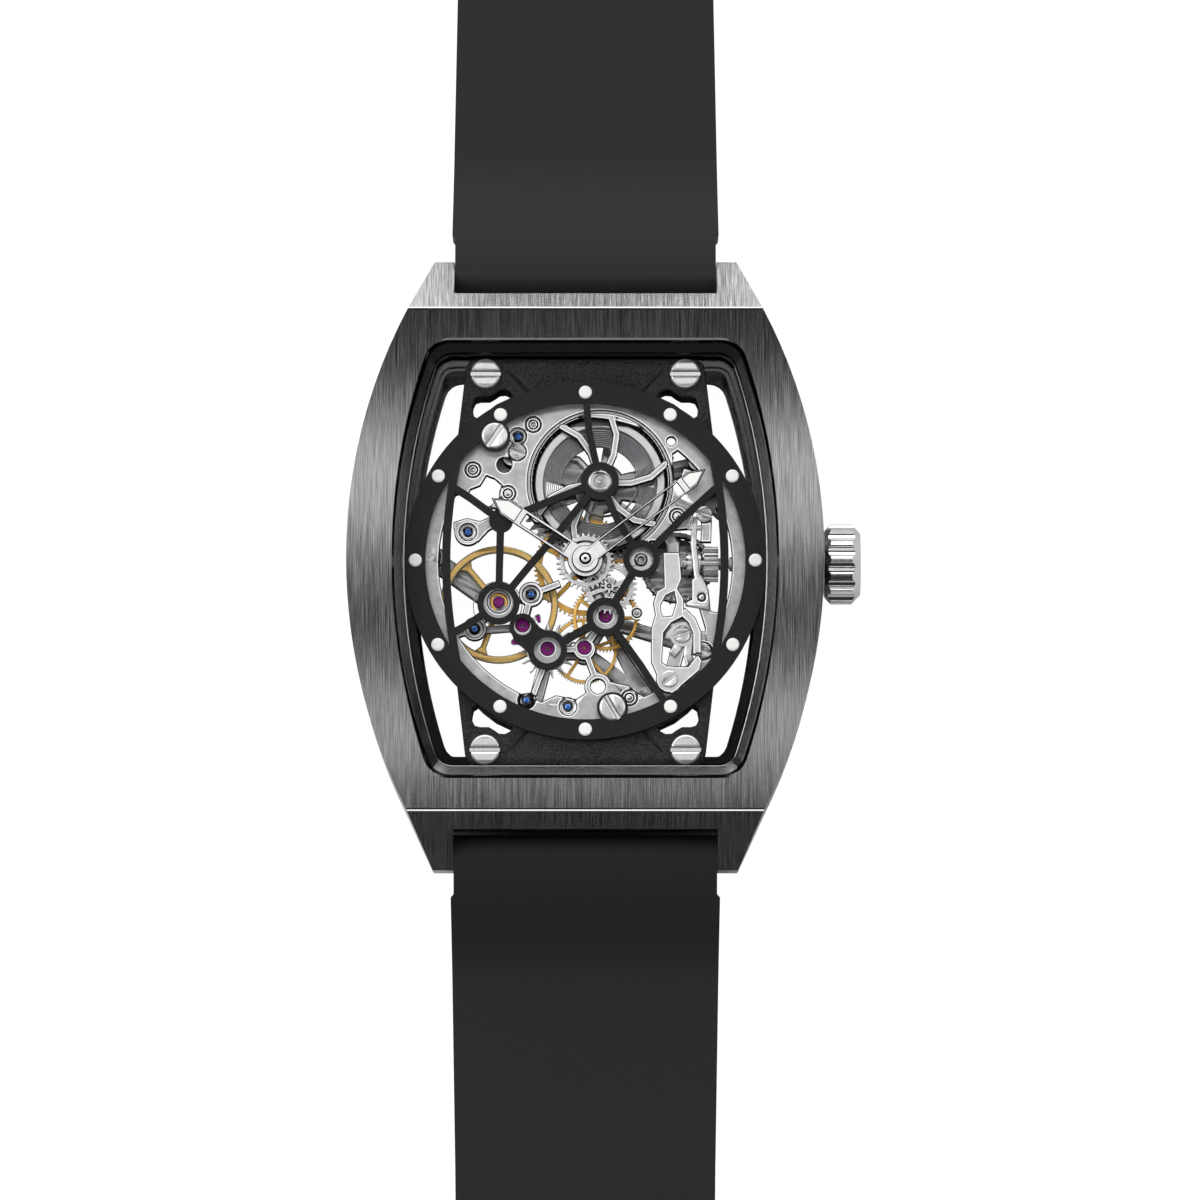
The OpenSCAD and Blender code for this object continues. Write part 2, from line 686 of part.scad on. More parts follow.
pillar_r = 0.8;
barrel_pillar_at = [[-6.2, 9.2], [-4.6, 12], [9.5, 8.8], [11.8, 5.2]];
train_pillar_at = [[5.2, -11.2], [10.6, -7.2], [-4.4, -12.1]];
cock_pillar_at = [[-12.7, 0.6]];
pillar_at = concat(barrel_pillar_at, train_pillar_at, cock_pillar_at);

module bridge(spots, arms, w, holes) {
  difference() {
    slab(bridge_z, bridge_z + bridge_t) {
      for (a = arms) bar(a[0], a[1], w);
      for (p = spots) translate(p) circle(r = 1.15);
      for (p = holes) translate(p) circle(r = 1.05);
    }
    for (p = spots) {
      rod(p, 0, 4, 0.45);
      rod(p, bridge_z - 1, bridge_z + 0.3, 0.78);
    }
    for (p = holes) rod(p, 0, 4, jewel_r);
  }
}

module barrel_bridge() {
  color([0.78, 0.78, 0.79]) difference() {
    union() {
      bridge(barrel_pillar_at, [[barrel_pillar_at[0], barrel_at], [barrel_pillar_at[1], barrel_at],
        [barrel_pillar_at[2], barrel_at], [barrel_pillar_at[3], barrel_at],
        [barrel_pillar_at[0], barrel_pillar_at[1]], [barrel_pillar_at[2], barrel_pillar_at[3]],
        [barrel_at, centre_at]], 1.5, [centre_at]);
      slab(bridge_z, bridge_z + bridge_t) translate(barrel_at) circle(r = 2.2);
      slab(bridge_z, bridge_z + bridge_t) bar(barrel_pillar_at[0], click_at, 1.2);
      rod(click_at, wheel_back_z, bridge_z + 0.1, 0.3);
      rod(click_at, bridge_z, bridge_z + bridge_t, 0.8);
    }
    rod(barrel_at, 0, 4, 0.75 + running);
    rod(centre_at, 0, 4, jewel_r);
    for (p = barrel_pillar_at) {
      rod(p, 0, 4, 0.45);
      rod(p, bridge_z - 1, bridge_z + 0.3, 0.78);
    }
  }
}

module train_bridge() {
  color([0.78, 0.78, 0.79])
    bridge(train_pillar_at, [[train_pillar_at[0], third_at], [train_pillar_at[0], fourth_at],
      [train_pillar_at[1], third_at], [fourth_at, escape_at], [third_at, fourth_at],
      [train_pillar_at[2], escape_at]], 1.2,
      [third_at, fourth_at, escape_at]);
}

module balance_cock() {
  color([0.78, 0.78, 0.79]) bridge(cock_pillar_at, [[cock_pillar_at[0], balance_at]], 1.7, [balance_at]);
}

module pallet_bridge() {
  color([0.78, 0.78, 0.79]) difference() {
    union() {
      slab(4.3, 4.65) {
        bar(at(blue_at[2]), pallet_at, 0.7);
        bar(pallet_at, at(blue_at[3]), 0.7);
        translate(pallet_at) circle(r = 0.6);
      }
      rod(at(blue_at[2]), 4.3, plate_z, 0.62);
      rod(at(blue_at[3]), 4.3, plate_z, 0.62);
    }
    rod(pallet_at, 4, 5, 0.14);
    rod(at(blue_at[2]), 4.45, 6, 0.3);
    rod(at(blue_at[3]), 4.45, 6, 0.3);
  }
}

module bridge_screws() {
  color([0.2, 0.3, 0.6]) for (p = pillar_at) under_screw(p);
}

module under_screw(p) {
  difference() {
    union() {
      rod(p, bridge_z - 0.05, bridge_z + 0.3, 0.76);
      rod(p, bridge_z + 0.2, bridge_z + bridge_t, 0.45);
    }
    translate([p[0], p[1], bridge_z - 0.05]) rotate(30) cube([2, 0.2, 0.3], center = true);
  }
}

module plate_pins() {
  color([0.85, 0.85, 0.87]) for (p = pin_at) {
    rod(at(p), plate_z + 0.05, plate_top_z - 0.02, pin_r);
    rod(at(p), plate_top_z - 0.05, plate_top_z + 0.12, 0.3);
  }
}

module plate_screws() {
  color([0.8, 0.8, 0.82]) {
    for (p = plate_screw_at) screw(at(p), plate_top_z - 0.25, 0.7, 0.3, screw_r, plate_z + 0.05, 160);
    screw(cover_screw_at, cover_top_z, 0.72, 0.1, screw_r - 0.02, plate_z + 0.1, 40);
    screw(lever_at, plate_top_z + 0.4, 0.75, 0.04, 0.4, plate_z + 0.1, 20);
  }
}

module blue_screws() {
  color([0.1, 0.25, 0.6]) for (p = blue_at)
    screw(at(p), plate_top_z - 0.25, 0.45, 0.2, 0.28, plate_z + 0.05, 60);
}

module jewel(p, z, top, hole = 0.14) {
  translate([p[0], p[1], z]) difference() {
    cylinder(h = top - z, r = jewel_r);
    translate([0, 0, -1]) cylinder(h = 3, r = hole);
    translate([0, 0, (top - z) - 0.12]) cylinder(h = 1, r1 = 0.14, r2 = 0.55);
  }
}

module jewels() {
  color([0.6, 0.12, 0.45]) {
    for (p = jewel_at) jewel(p, plate_z, plate_z + 0.55);
    for (p = [third_at, fourth_at, escape_at, centre_at, balance_at])
      jewel(p, bridge_z, bridge_z + 0.5, 0.22);
    rod(balance_at, plate_z + 0.35, plate_z + 0.62, 0.27);
  }
}

// Shock spring and jewel of the balance, in the big boss
module shock_spring() {
  color([0.85, 0.65, 0.2]) translate([balance_at[0], balance_at[1], plate_z]) {
    difference() {
      cylinder(h = 0.75, r = 0.95);
      translate([0, 0, -1]) cylinder(h = 3, r = 0.14);
      translate([0, 0, 0.35]) cylinder(h = 1, r = 0.72);
    }
    translate([0, 0, 0.3]) linear_extrude(height = 0.25) {
      for (a = [30, 150, 270]) rotate(a) bar([0.1, 0.28], [0.76, 0.28], 0.12);
      difference() {
        circle(r = 0.45);
        circle(r = 0.3);
      }
    }
  }
}

// Going train

barrel_m = 2 * norm(barrel_at - centre_at) / (barrel_teeth + centre_pinion_teeth);
centre_m = 2 * norm(third_at - centre_at) / (centre_teeth + third_pinion_teeth);
third_m = 2 * norm(fourth_at - third_at) / (third_teeth + fourth_pinion_teeth);
fourth_m = 2 * norm(escape_at - fourth_at) / (fourth_teeth + escape_pinion_teeth);
barrel_first = heading(barrel_at, centre_at);
centre_first = heading(centre_at, third_at);
third_first = heading(third_at, fourth_at);
fourth_first = heading(fourth_at, escape_at);

module barrel() {
  color([0.82, 0.8, 0.74]) translate([barrel_at[0], barrel_at[1], 0]) difference() {
    union() {
      slab(3.3, 3.7) shape(wheel_points(barrel_teeth, barrel_m, barrel_first));
      slab(3.3, 5.1) circle(r = barrel_r);
    }
    slab(3.5, 4.9) circle(r = barrel_r - 0.25);
    slab(4.8, 6) circle(r = 4.7);
    slab(3, 3.6) difference() {
      circle(r = 4.6);
      circle(r = 1.5);
      for (k = [0 : 5]) rotate(k * 60) path([polar(1.2, 0), polar(3, 8), polar(4.8, 24)], 0.55);
    }
    slab(3, 4) circle(r = 0.75 + running);
  }
}

spring_t = 0.1;
// Radius of the mainspring along its length: a quick first turn off the arbor, then the wound turns
function coil_r(turn) = turn < 1 ? 1.05 + 2.1 * turn : 3.15 + (turn - 1) * 2.05 / mainspring_turns;
function coil(turn, side) = polar(coil_r(turn) + side * spring_t / 2, turn * 360 + 20);
coil_steps = 26;
coil_side = [for (i = [0 : coil_steps * (mainspring_turns + 1)]) i / coil_steps];
echo(mainspring_gap = min([for (t = coil_side) if (t > 1) coil_r(t) - coil_r(t - 1) - spring_t]));
module mainspring() {
  color([0.45, 0.45, 0.47]) translate([barrel_at[0], barrel_at[1], 3.65]) linear_extrude(height = 1.1)
    shape(concat([for (t = coil_side) coil(t, 1)],
      [for (i = [len(coil_side) - 1 : -1 : 0]) coil(coil_side[i], -1)]));
}

module barrel_arbor() {
  color([0.8, 0.8, 0.82]) {
    translate([barrel_at[0], barrel_at[1], wheel_back_z + 0.2]) cube([0.96, 0.96, 0.6], center = true);
    rod(barrel_at, 2.05, 3.56, 0.75);
    rod(barrel_at, 3.55, 5.14, 0.97);
    rod(barrel_at, 5.1, 6.3, 1);
    difference() {
      rod(barrel_at, 6.2, 6.5, 0.98);
      rod(barrel_at, 6.4, 7, 0.45);
    }
  }
}

module centre_wheel() {
  color([0.85, 0.65, 0.25]) {
    slab(2.95, 3.15) spoked(centre_at, centre_teeth, centre_m, 0.45, 0.9, 5, 0.4, centre_first, 10);
    pinion(centre_at, centre_pinion_teeth, barrel_m, 3.1, 4,
      mate(barrel_teeth, barrel_first, barrel_at, centre_pinion_teeth, centre_at));
    rod(centre_at, 2.3, 3.2, 0.18);
    rod(centre_at, 3.2, 6.05, 0.35);
    rod(centre_at, 6, 8.7, 0.25);
  }
}

module third_wheel() {
  color([0.88, 0.66, 0.22]) {
    slab(4.4, 4.6) spoked(third_at, third_teeth, third_m, 0.3, 0.6, 5, 0.3, third_first, 0);
    pinion(third_at, third_pinion_teeth, centre_m, 2.92, 3.5,
      mate(centre_teeth, centre_first, centre_at, third_pinion_teeth, third_at));
    rod(third_at, 3.4, 5.1, 0.2);
    rod(third_at, 2.2, 5.6, 0.1);
  }
}

module fourth_wheel() {
  color([0.88, 0.66, 0.22]) {
    slab(3.6, 3.8) spoked(fourth_at, fourth_teeth, fourth_m, 0.25, 0.55, 5, 0.28, fourth_first, 20);
    pinion(fourth_at, fourth_pinion_teeth, third_m, 4.3, 4.8,
      mate(third_teeth, third_first, third_at, fourth_pinion_teeth, fourth_at));
    rod(fourth_at, 2.95, 5.1, 0.17);
    rod(fourth_at, 2.2, 5.6, 0.1);
  }
}

escape_r = 2.42;
escape_line = heading(escape_at, pallet_at);
// One club tooth, leaning forward
function club(a) = [polar(1.75, a - 7), polar(2.2, a - 1.6), polar(escape_r, a - 1.4),
  polar(escape_r - 0.03, a + 1.4), polar(2.18, a + 2.6), polar(1.75, a + 4)];
module escape_wheel() {
  color([0.8, 0.8, 0.82]) {
    slab(4.85, 5.05) translate(escape_at) difference() {
      shape([for (k = [0 : escape_teeth - 1]) each club(escape_line + k * 360 / escape_teeth)]);
      difference() {
        circle(r = 1.5);
        circle(r = 0.5);
        for (k = [0 : 3]) rotate(k * 90 + 20) translate([0, -0.13]) square([1.6, 0.26]);
      }
    }
    pinion(escape_at, escape_pinion_teeth, fourth_m, 3.45, 4.1,
      mate(fourth_teeth, fourth_first, fourth_at, escape_pinion_teeth, escape_at));
    rod(escape_at, 2.95, 5.1, 0.16);
    rod(escape_at, 2.2, 5.6, 0.1);
  }
}

stone_turn = 30;
stone_gap = 0.035;
to_balance = heading(pallet_at, balance_at);
balance_gap = norm(balance_at - pallet_at);
pin_path_r = 0.72;
// at rest the impulse pin stands well clear of the fork, which is free to swing
pin_rest_turn = 150;
function stone_place(side, r) = escape_at + polar(r, escape_line + side * stone_turn);
module pallet_fork() {
  color([0.8, 0.8, 0.82]) {
    slab(4.85, 5.05) difference() {
      union() {
        translate(pallet_at) circle(r = 0.32);
        for (side = [-1, 1]) {
          bar(pallet_at, stone_place(side, escape_r + 0.5), 0.34);
          translate(stone_place(side, escape_r + 0.5)) circle(r = 0.26);
        }
        bar(pallet_at, pallet_at + polar(balance_gap - 0.95, to_balance), 0.24);
        translate(pallet_at + polar(balance_gap - 0.9, to_balance)) rotate(to_balance)
          shape([[-0.35, -0.12], [0, -0.34], [0.24, -0.34], [0.24, 0.34], [0, 0.34], [-0.35, 0.12]]);
      }
      translate(pallet_at + polar(balance_gap - 0.9, to_balance)) rotate(to_balance)
        translate([0, -0.13]) square([0.5, 0.26]);
      for (side = [-1, 1]) stone_plan(side);
    }
    rod(pallet_at, 4.7, 5.12, 0.15);
    rod(pallet_at, 4.4, 5.6, 0.1);
  }
}

module stone_plan(side) {
  translate(stone_place(side, escape_r + stone_gap)) rotate(escape_line + side * stone_turn)
    translate([0, -0.15]) square([0.62, 0.3]);
}

module pallet_stones() {
  color([0.6, 0.05, 0.15]) for (side = [-1, 1]) slab(4.8, 5.08) stone_plan(side);
}

module balance_wheel() {
  color([0.88, 0.72, 0.35]) {
    slab(3.7, 4.2) translate(balance_at) difference() {
      circle(r = balance_r);
      circle(r = balance_r - 0.6);
    }
    slab(3.8, 4.1) translate(balance_at) difference() {
      union() {
        circle(r = 0.9);
        for (k = [0 : 2]) rotate(k * 120 + 10) {
          translate([0, -0.25]) square([balance_r - 0.3, 0.5]);
          shape([polar(balance_r - 0.4, -9), polar(balance_r - 1.5, 0), polar(balance_r - 0.4, 9)]);
        }
      }
      circle(r = 0.25);
    }
    rod(balance_at, 2.95, 5.1, 0.26);
    rod(balance_at, 2.2, 5.5, 0.1);
    rod(balance_at, 3.15, 3.45, 0.45);
    rod(balance_at, 4.48, 4.74, 0.95);
    rod(balance_at + polar(pin_path_r, to_balance + 180 + pin_rest_turn), 4.6, 5.08, 0.09);
  }
}

hair_t = 0.07;
hair_pitch = 0.49;
function hair_r(turn) = 0.47 + hair_pitch * turn;
function hair(turn, side) = balance_at + polar(hair_r(turn) + side * hair_t / 2, turn * 360);
hair_side = [for (i = [0 : 24 * hairspring_turns]) i / 24];
echo(hairspring_gap = min([for (t = hair_side) if (t > 1) hair_r(t) - hair_r(t - 1) - hair_t]));
module hairspring() {
  color([0.3, 0.3, 0.5]) slab(3.2, 3.4) shape(concat([for (t = hair_side) hair(t, 1)],
    [for (i = [len(hair_side) - 1 : -1 : 0]) hair(hair_side[i], -1)]));
}

// Motion work and hands

module cannon_pinion() {
  color([0.82, 0.82, 0.84]) difference() {
    union() {
      pinion(centre_at, cannon_teeth, motion_m, 6.08, 6.55, cannon_first);
      rod(centre_at, 6.3, minute_z + hand_t, cannon_r);
    }
    rod(centre_at, 5, 9, 0.25);
  }
}

hour_m = 2 * norm(minute_at - centre_at) / (minute_pinion_teeth + hour_teeth);
minute_pinion_first = heading(minute_at, centre_at);
module minute_wheel() {
  color([0.82, 0.82, 0.84]) difference() {
    union() {
      slab(6.12, 6.4) spoked(minute_at, minute_teeth, motion_m, 0.4, 0.8, 4, 0.35, minute_first, 20);
      pinion(minute_at, minute_pinion_teeth, hour_m, 6.35, 6.9, minute_pinion_first);
    }
    rod(minute_at, 5, 8, 0.2);
  }
}

module hour_wheel() {
  color([0.82, 0.82, 0.84]) difference() {
    union() {
      slab(6.6, 6.85) spoked(centre_at, hour_teeth, hour_m, 0.4, 1.1, 4, 0.4,
        mate(minute_pinion_teeth, minute_pinion_first, minute_at, hour_teeth, centre_at), 45);
      rod(centre_at, 6.6, hour_z + hand_t, hour_pipe_r);
    }
    rod(centre_at, 5, 9, cannon_r + running);
  }
}

// Outline of a hand that points along X: a hub, two rails and a pentagon tip
hand_slot_from = 1.9;
hand_tip_len = 1.4;
module hand(len, slot_to, half_w, hub, rail_w) {
  difference() {
    union() {
      circle(r = hub);
      shape([[0, -half_w], [len - hand_tip_len, -half_w], [len, 0], [len - hand_tip_len, half_w],
        [0, half_w]]);
    }
    shape([[hand_slot_from, -half_w + rail_w], [slot_to, -half_w + rail_w],
      [slot_to, half_w - rail_w], [hand_slot_from, half_w - rail_w]]);
  }
}

// The recess for the luminous filling in a hand's tip
lume_inset = 0.2;
lume_point_inset = 0.4;
cross_bar = 0.6;
module lume_plan(len, slot_to, half_w) {
  shape([[slot_to + cross_bar, lume_inset - half_w], [len - hand_tip_len, lume_inset - half_w],
    [len - lume_point_inset, 0], [len - hand_tip_len, half_w - lume_inset],
    [slot_to + cross_bar, half_w - lume_inset]]);
}

hour_turn = 146.5;
minute_turn = 37;
// Length of a hand beyond its slot, and width of the rails beside the slot
hour_solid_len = 3.3;
hour_rail_w = 0.3;
minute_solid_len = 2.7;
minute_rail_w = 0.23;
hour_slot_to = hour_len - hour_solid_len;
minute_slot_to = minute_len - minute_solid_len;
hour_pipe_r = 0.62;
cannon_r = 0.42;
hand_t = 0.2;
module hour_hand() {
  color([0.85, 0.85, 0.87]) difference() {
    slab(hour_z, hour_z + hand_t) rotate(hour_turn)
      hand(hour_len, hour_slot_to, hour_half_w, hour_hub_r, hour_rail_w);
    slab(hour_z + 0.12, hour_z + 1) rotate(hour_turn) lume_plan(hour_len, hour_slot_to, hour_half_w);
    rod(centre_at, 7, 9, hour_pipe_r);
  }
}

module minute_hand() {
  color([0.85, 0.85, 0.87]) {
    difference() {
      slab(minute_z, minute_z + hand_t) rotate(minute_turn)
        hand(minute_len, minute_slot_to, minute_half_w, minute_hub_r, minute_rail_w);
      slab(minute_z + 0.12, minute_z + 1) rotate(minute_turn)
        lume_plan(minute_len, minute_slot_to, minute_half_w);
      rod(centre_at, 7, 9, cannon_r);
    }
    difference() {
      rod(centre_at, minute_z + 0.01, minute_z + 0.35, 0.72);
      rod(centre_at, 7, 9, cannon_r);
    }
  }
}

// Frame and dial web

frame_screw_at = [for (sx = [-1, 1]) for (sy = [-1, 1]) [sx * 8.42, sy * 15.95]];
corner_hole = along([[472.5, 400], [475, 395], [480, 393.5], [489, 393.5], [495, 390], [499, 387],
  [505, 386.5],
  [510, 389], [513, 393], [496, 401], [483, 411], [478, 416], [473.5, 413], [472, 405]], 7.3);

// The upper frame plate; the lower one is its mirror image
module frame_plate() {
  difference() {
    union() {
      slab(shelf_z, deck_top_z) shape([[-9.3, 17.25], [9.3, 17.25], [9.9, 16.9], [10.1, 16.3], [10.85, 9.9],
        [-10.85, 9.9], [-10.1, 16.3], [-9.9, 16.9]]);
      slab(frame_z, shelf_z + 0.01) shape([[-9.4, 16.2], [9.4, 16.2], [10.1, 15.6], [10.8, 9.9],
        [-10.8, 9.9], [-10.1, 15.6]]);
    }
    slab(0, 8) circle(r = plate_r + gap);
    slab(0, 8) for (side = [0, 1]) mirror([side, 0]) shape(corner_hole);
    for (p = frame_screw_at) rod(p, 0, 8, 0.5);
    for (side = [0, 1]) mirror([side, 0]) slab(deck_top_z - 0.1, 8)
      path([[-6.5, 16.15], [-4.9, 14.45], [-4.75, 14.3]], 0.12);
  }
}

module frame_upper() {
  color([0.1, 0.1, 0.1]) frame_plate();
}

module frame_lower() {
  color([0.1, 0.1, 0.1]) mirror([0, 1, 0]) frame_plate();
}

module frame_screws() {
  color([0.85, 0.85, 0.86]) for (p = frame_screw_at)
    screw(p, deck_top_z, 1.27, 0.45, 0.5, shelf_z - 2, 0);
}

ring_in_r = 13.45;
ring_out_r = 15.15;
web_node_at = [[600, 480, 1.6, 1.05], [641.5, 558.5, 1.55, 1.02], [605.5, 617, 1.62, 1.06],
  [547.5, 650.5, 1.66, 1.14], [522.5, 627, 1.1, 0.74], [498.5, 603.5, 1.78, 1.26]];
web_pad_at = [[501, 520, 1.0], [494.5, 434.5, 1.3], [612.5, 708.5, 1.3]];
web_bars = [[[586, 396], [589, 430], [600, 480]], [[600, 480], [575, 490], [501, 520]],
  [[600, 480], [560, 530], [530, 565], [498.5, 603.5]], [[600, 480], [618, 520], [641.5, 558.5]],
  [[641.5, 558.5], [680, 520], [716, 487]], [[641.5, 558.5], [605.5, 617]], [[605.5, 617], [547.5, 650.5]],
  [[605.5, 617], [640, 665], [664, 702]], [[547.5, 650.5], [522.5, 627]], [[522.5, 627], [498.5, 603.5]],
  [[498.5, 603.5], [501, 520]], [[501, 520], [470, 497], [453, 486]], [[498.5, 603.5], [468, 625],
  [451, 634]],
  [[494.5, 434.5], [481, 424]], [[612.5, 708.5], [617, 724]]];
web_bar_w = 0.58;
side_bar_r = 41;
side_bar_out = 12.04;
side_bar_in = 11.35;

// Part of a ring that bows outwards at the side
module side_bar(side) {
  mirror([side, 0]) intersection() {
    translate([-side_bar_r + side_bar_out, 0.02]) circle(r = side_bar_r, $fn = 200);
    difference() {
      translate([5, -9]) square([10, 18]);
      translate([-side_bar_r + side_bar_out, 0.02]) circle(r = side_bar_r - (side_bar_out - side_bar_in));
    }
  }
}

module dial_web() {
  color([0.13, 0.13, 0.13]) difference() {
    union() {
      web_plan();
      for (p = dial_screw_at) rod(p, plate_top_z, web_z + 0.1, 0.7);
    }
    for (n = web_node_at) rod(at(n, 7.3), 6, 9, n[3]);
    for (p = dial_screw_at) rod(p, 5, 9, 0.5);
    for (k = [0 : 11]) rod(polar(marker_ring_r, k * 30), web_top_z - 0.2, 9, marker_r);
  }
}

module web_plan() {
  slab(web_z, web_top_z) {
    difference() {
      circle(r = ring_out_r);
      circle(r = ring_in_r);
    }
    side_bar(0);
    side_bar(1);
    for (n = web_node_at) translate(at(n, 7.3)) circle(r = n[2]);
    for (n = web_pad_at) translate(at(n, 7.3)) circle(r = n[2]);
    for (b = web_bars) path(along(b, 7.3), web_bar_w);
    shape(along([[547.5, 632], [536, 641], [528, 652], [514, 641], [512, 634], [530, 616],
      [540, 628]], 7.3));
  }
}

marker_r = 0.55;
module hour_markers() {
  color([0.95, 0.95, 0.93]) for (k = [0 : 11])
    rod(polar(marker_ring_r, k * 30), web_top_z - 0.2, web_top_z + 0.12, marker_r);
}

module dial_screws() {
  color([0.85, 0.85, 0.86]) for (i = [0, 1])
    screw(dial_screw_at[i], web_top_z, 1.12, 0.32, 0.5, plate_z, dial_screw_turn[i]);
}

// Strap

bar_hole_r = bar_r + 0.05;
strap_end_r = 1.75;
flat_from = 11;
under_from = 0.3;
under_len = 6;
strap_z = 2.9;
// Height of the top and of the underside of the strap, at a distance from its bar
function ease(t) = t <= 0 ? 0 : t >= 1 ? 1 : t * t * (3 - 2 * t);
function strap_top(d, lift) =
  lift + strap_z + (bar_z + strap_end_r - strap_z - lift) * (1 - ease(d / flat_from));
function strap_bottom(d, lift) = lift + (bar_z - strap_end_r - lift) * (1 - ease((d - under_from) / under_len));
function strap_side(len, lift) = concat(
  [[0, bar_z], [0, bar_z] + polar(strap_end_r + 0.004, 80)],
  [for (i = [1 : 12]) let (d = i * flat_from / 12) [d, strap_top(d, lift)]],
  [[len, lift + strap_t], [len, lift]],
  [for (i = [8 : -1 : 1]) let (d = under_from + i * under_len / 8) [d, strap_bottom(d, lift)]],
  [[0, bar_z] + polar(strap_end_r + 0.004, -80)]);

module strap_body(len, lift) {
  intersection() {
    rotate([90, 0, 90]) translate([0, 0, -15]) linear_extrude(height = 30) union() {
      translate([bar_y, 0]) shape(strap_side(len, lift));
      translate([bar_y, bar_z]) circle(r = strap_end_r);
    }
    slab(-1, 8) children();
  }
}

// The strap is full at the lugs, a little wider beyond them, and tapers to its end
ear_from = 3.3;
ear_to = 3.6;
ear_w = 0.25;
taper_from = 26;
end_straight = 12;
module strap_plan(len, tip) {
  half = strap_w / 2;
  shape(concat([[-half, bar_y - 2], [half, bar_y - 2], [half, bar_y + ear_from], [half + ear_w, bar_y + ear_to],
    [half - 0.15, bar_y + taper_from], [strap_end_w / 2, bar_y + len - end_straight],
    [strap_end_w / 2, bar_y + len - tip]],
    arc([0, bar_y + len - tip], strap_end_w / 2, 0, 180, tip > 1 ? 16 : 1),
    [[-strap_end_w / 2, bar_y + len - end_straight], [-half + 0.15, bar_y + taper_from],
    [-half - ear_w, bar_y + ear_to], [-half, bar_y + ear_from]]));
}

upper_lift = 0.7;
buckle_inset = 1.2;
buckle_y = bar_y + strap_upper_len - buckle_inset;
buckle_z = 1.55;
strap_holes = 7;
strap_hole_step = 6.5;
strap_hole_r = 1.1;
last_hole_inset = 22;
module strap_upper() {
  color([0.19, 0.19, 0.19]) difference() {
    union() {
      strap_body(strap_upper_len - buckle_inset, upper_lift) strap_plan(strap_upper_len, 0.5);
      translate([0, buckle_y, buckle_z]) rotate([0, 90, 0])
        cylinder(h = strap_end_w, r = 1.45, center = true);
    }
    translate([0, bar_y, bar_z]) rotate([0, 90, 0]) cylinder(h = 40, r = bar_hole_r, center = true);
    translate([0, buckle_y, buckle_z]) rotate([0, 90, 0]) cylinder(h = 40, r = 0.75 + 0.01, center = true);
    translate([-1.6, buckle_y - 3, -1]) cube([3.2, 8, 8]);
  }
}

module strap_lower() {
  color([0.19, 0.19, 0.19]) mirror([0, 1, 0]) difference() {
    strap_body(strap_lower_len, 0) strap_plan(strap_lower_len, strap_end_w / 2);
    translate([0, bar_y, bar_z]) rotate([0, 90, 0]) cylinder(h = 40, r = bar_hole_r, center = true);
    for (k = [0 : strap_holes - 1])
      rod([0, bar_y + strap_lower_len - last_hole_inset - k * strap_hole_step], -1, 8, strap_hole_r);
  }
}

module spring_bars() {
  color([0.8, 0.8, 0.82]) for (side = [-1, 1]) translate([0, side * bar_y, bar_z]) rotate([0, 90, 0]) {
    cylinder(h = 2 * lug_gap_x - 0.1, r = bar_r, center = true);
    cylinder(h = 2 * (lug_gap_x + bar_hole_depth) - 0.6, r = bar_pin_r, center = true);
  }
}

arm_in_x = strap_end_w / 2 + 0.35;
arm_out_x = arm_in_x + 1.9;
buckle_front_y = buckle_y + 11.5;
module buckle_frame() {
  color([0.16, 0.16, 0.17]) difference() {
    slab(0.25, 2.35) difference() {
      shape([[-arm_out_x, buckle_y - 1.4], [-arm_out_x, buckle_front_y - 1.5],
        [-arm_out_x + 1.5, buckle_front_y],
        [arm_out_x - 1.5, buckle_front_y], [arm_out_x, buckle_front_y - 1.5], [arm_out_x, buckle_y - 1.4],
        [arm_in_x, buckle_y - 1.4], [arm_in_x, buckle_front_y - 3], [arm_in_x - 0.8, buckle_front_y - 2.2],
        [-arm_in_x + 0.8, buckle_front_y - 2.2], [-arm_in_x, buckle_front_y - 3],
        [-arm_in_x, buckle_y - 1.4]]);
    }
    translate([0, buckle_y, buckle_z]) rotate([0, 90, 0])
      cylinder(h = 2 * arm_out_x - 1.2, r = 0.5 + running, center = true);
  }
}

module buckle_bar() {
  color([0.75, 0.75, 0.77]) translate([0, buckle_y, buckle_z]) rotate([0, 90, 0]) {
    cylinder(h = 2 * arm_in_x - 0.1, r = 0.75, center = true);
    cylinder(h = 2 * arm_out_x - 1.3, r = 0.5, center = true);
  }
}

tongue_w = 2.2;
module buckle_tongue() {
  color([0.7, 0.7, 0.72]) difference() {
    rotate([90, 0, 90]) translate([0, 0, -tongue_w / 2]) linear_extrude(height = tongue_w) union() {
      translate([buckle_y, buckle_z]) circle(r = 1.35);
      shape([[buckle_y, buckle_z + 1.3], [buckle_y, buckle_z + 0.2], [buckle_y + 1.2, buckle_z + 0.2],
        [buckle_front_y - 3, 2.4], [buckle_front_y + 0.2, 2.4], [buckle_front_y + 0.3, 2.9],
        [buckle_front_y - 2, 3.15]]);
    }
    translate([0, buckle_y, buckle_z]) rotate([0, 90, 0]) cylinder(h = 40, r = 0.75 + running, center = true);
  }
}

keeper_room = 4.7;
module keeper(y, w, slack) {
  half = strap_end_w / 2 + 0.25 + slack;
  translate([0, y, 0]) difference() {
    translate([-half - 1, -w / 2, 0]) cube([2 * half + 2, w, upper_lift + keeper_room + 0.9]);
    translate([-half, -w, upper_lift - slack]) cube([2 * half, 2 * w, keeper_room]);
  }
}

module fixed_keeper() {
  color([0.19, 0.19, 0.19]) keeper(buckle_y - 7, 5, 0);
}

module sliding_keeper() {
  color([0.19, 0.19, 0.19]) keeper(buckle_y - 22, 5, 0.08);
}

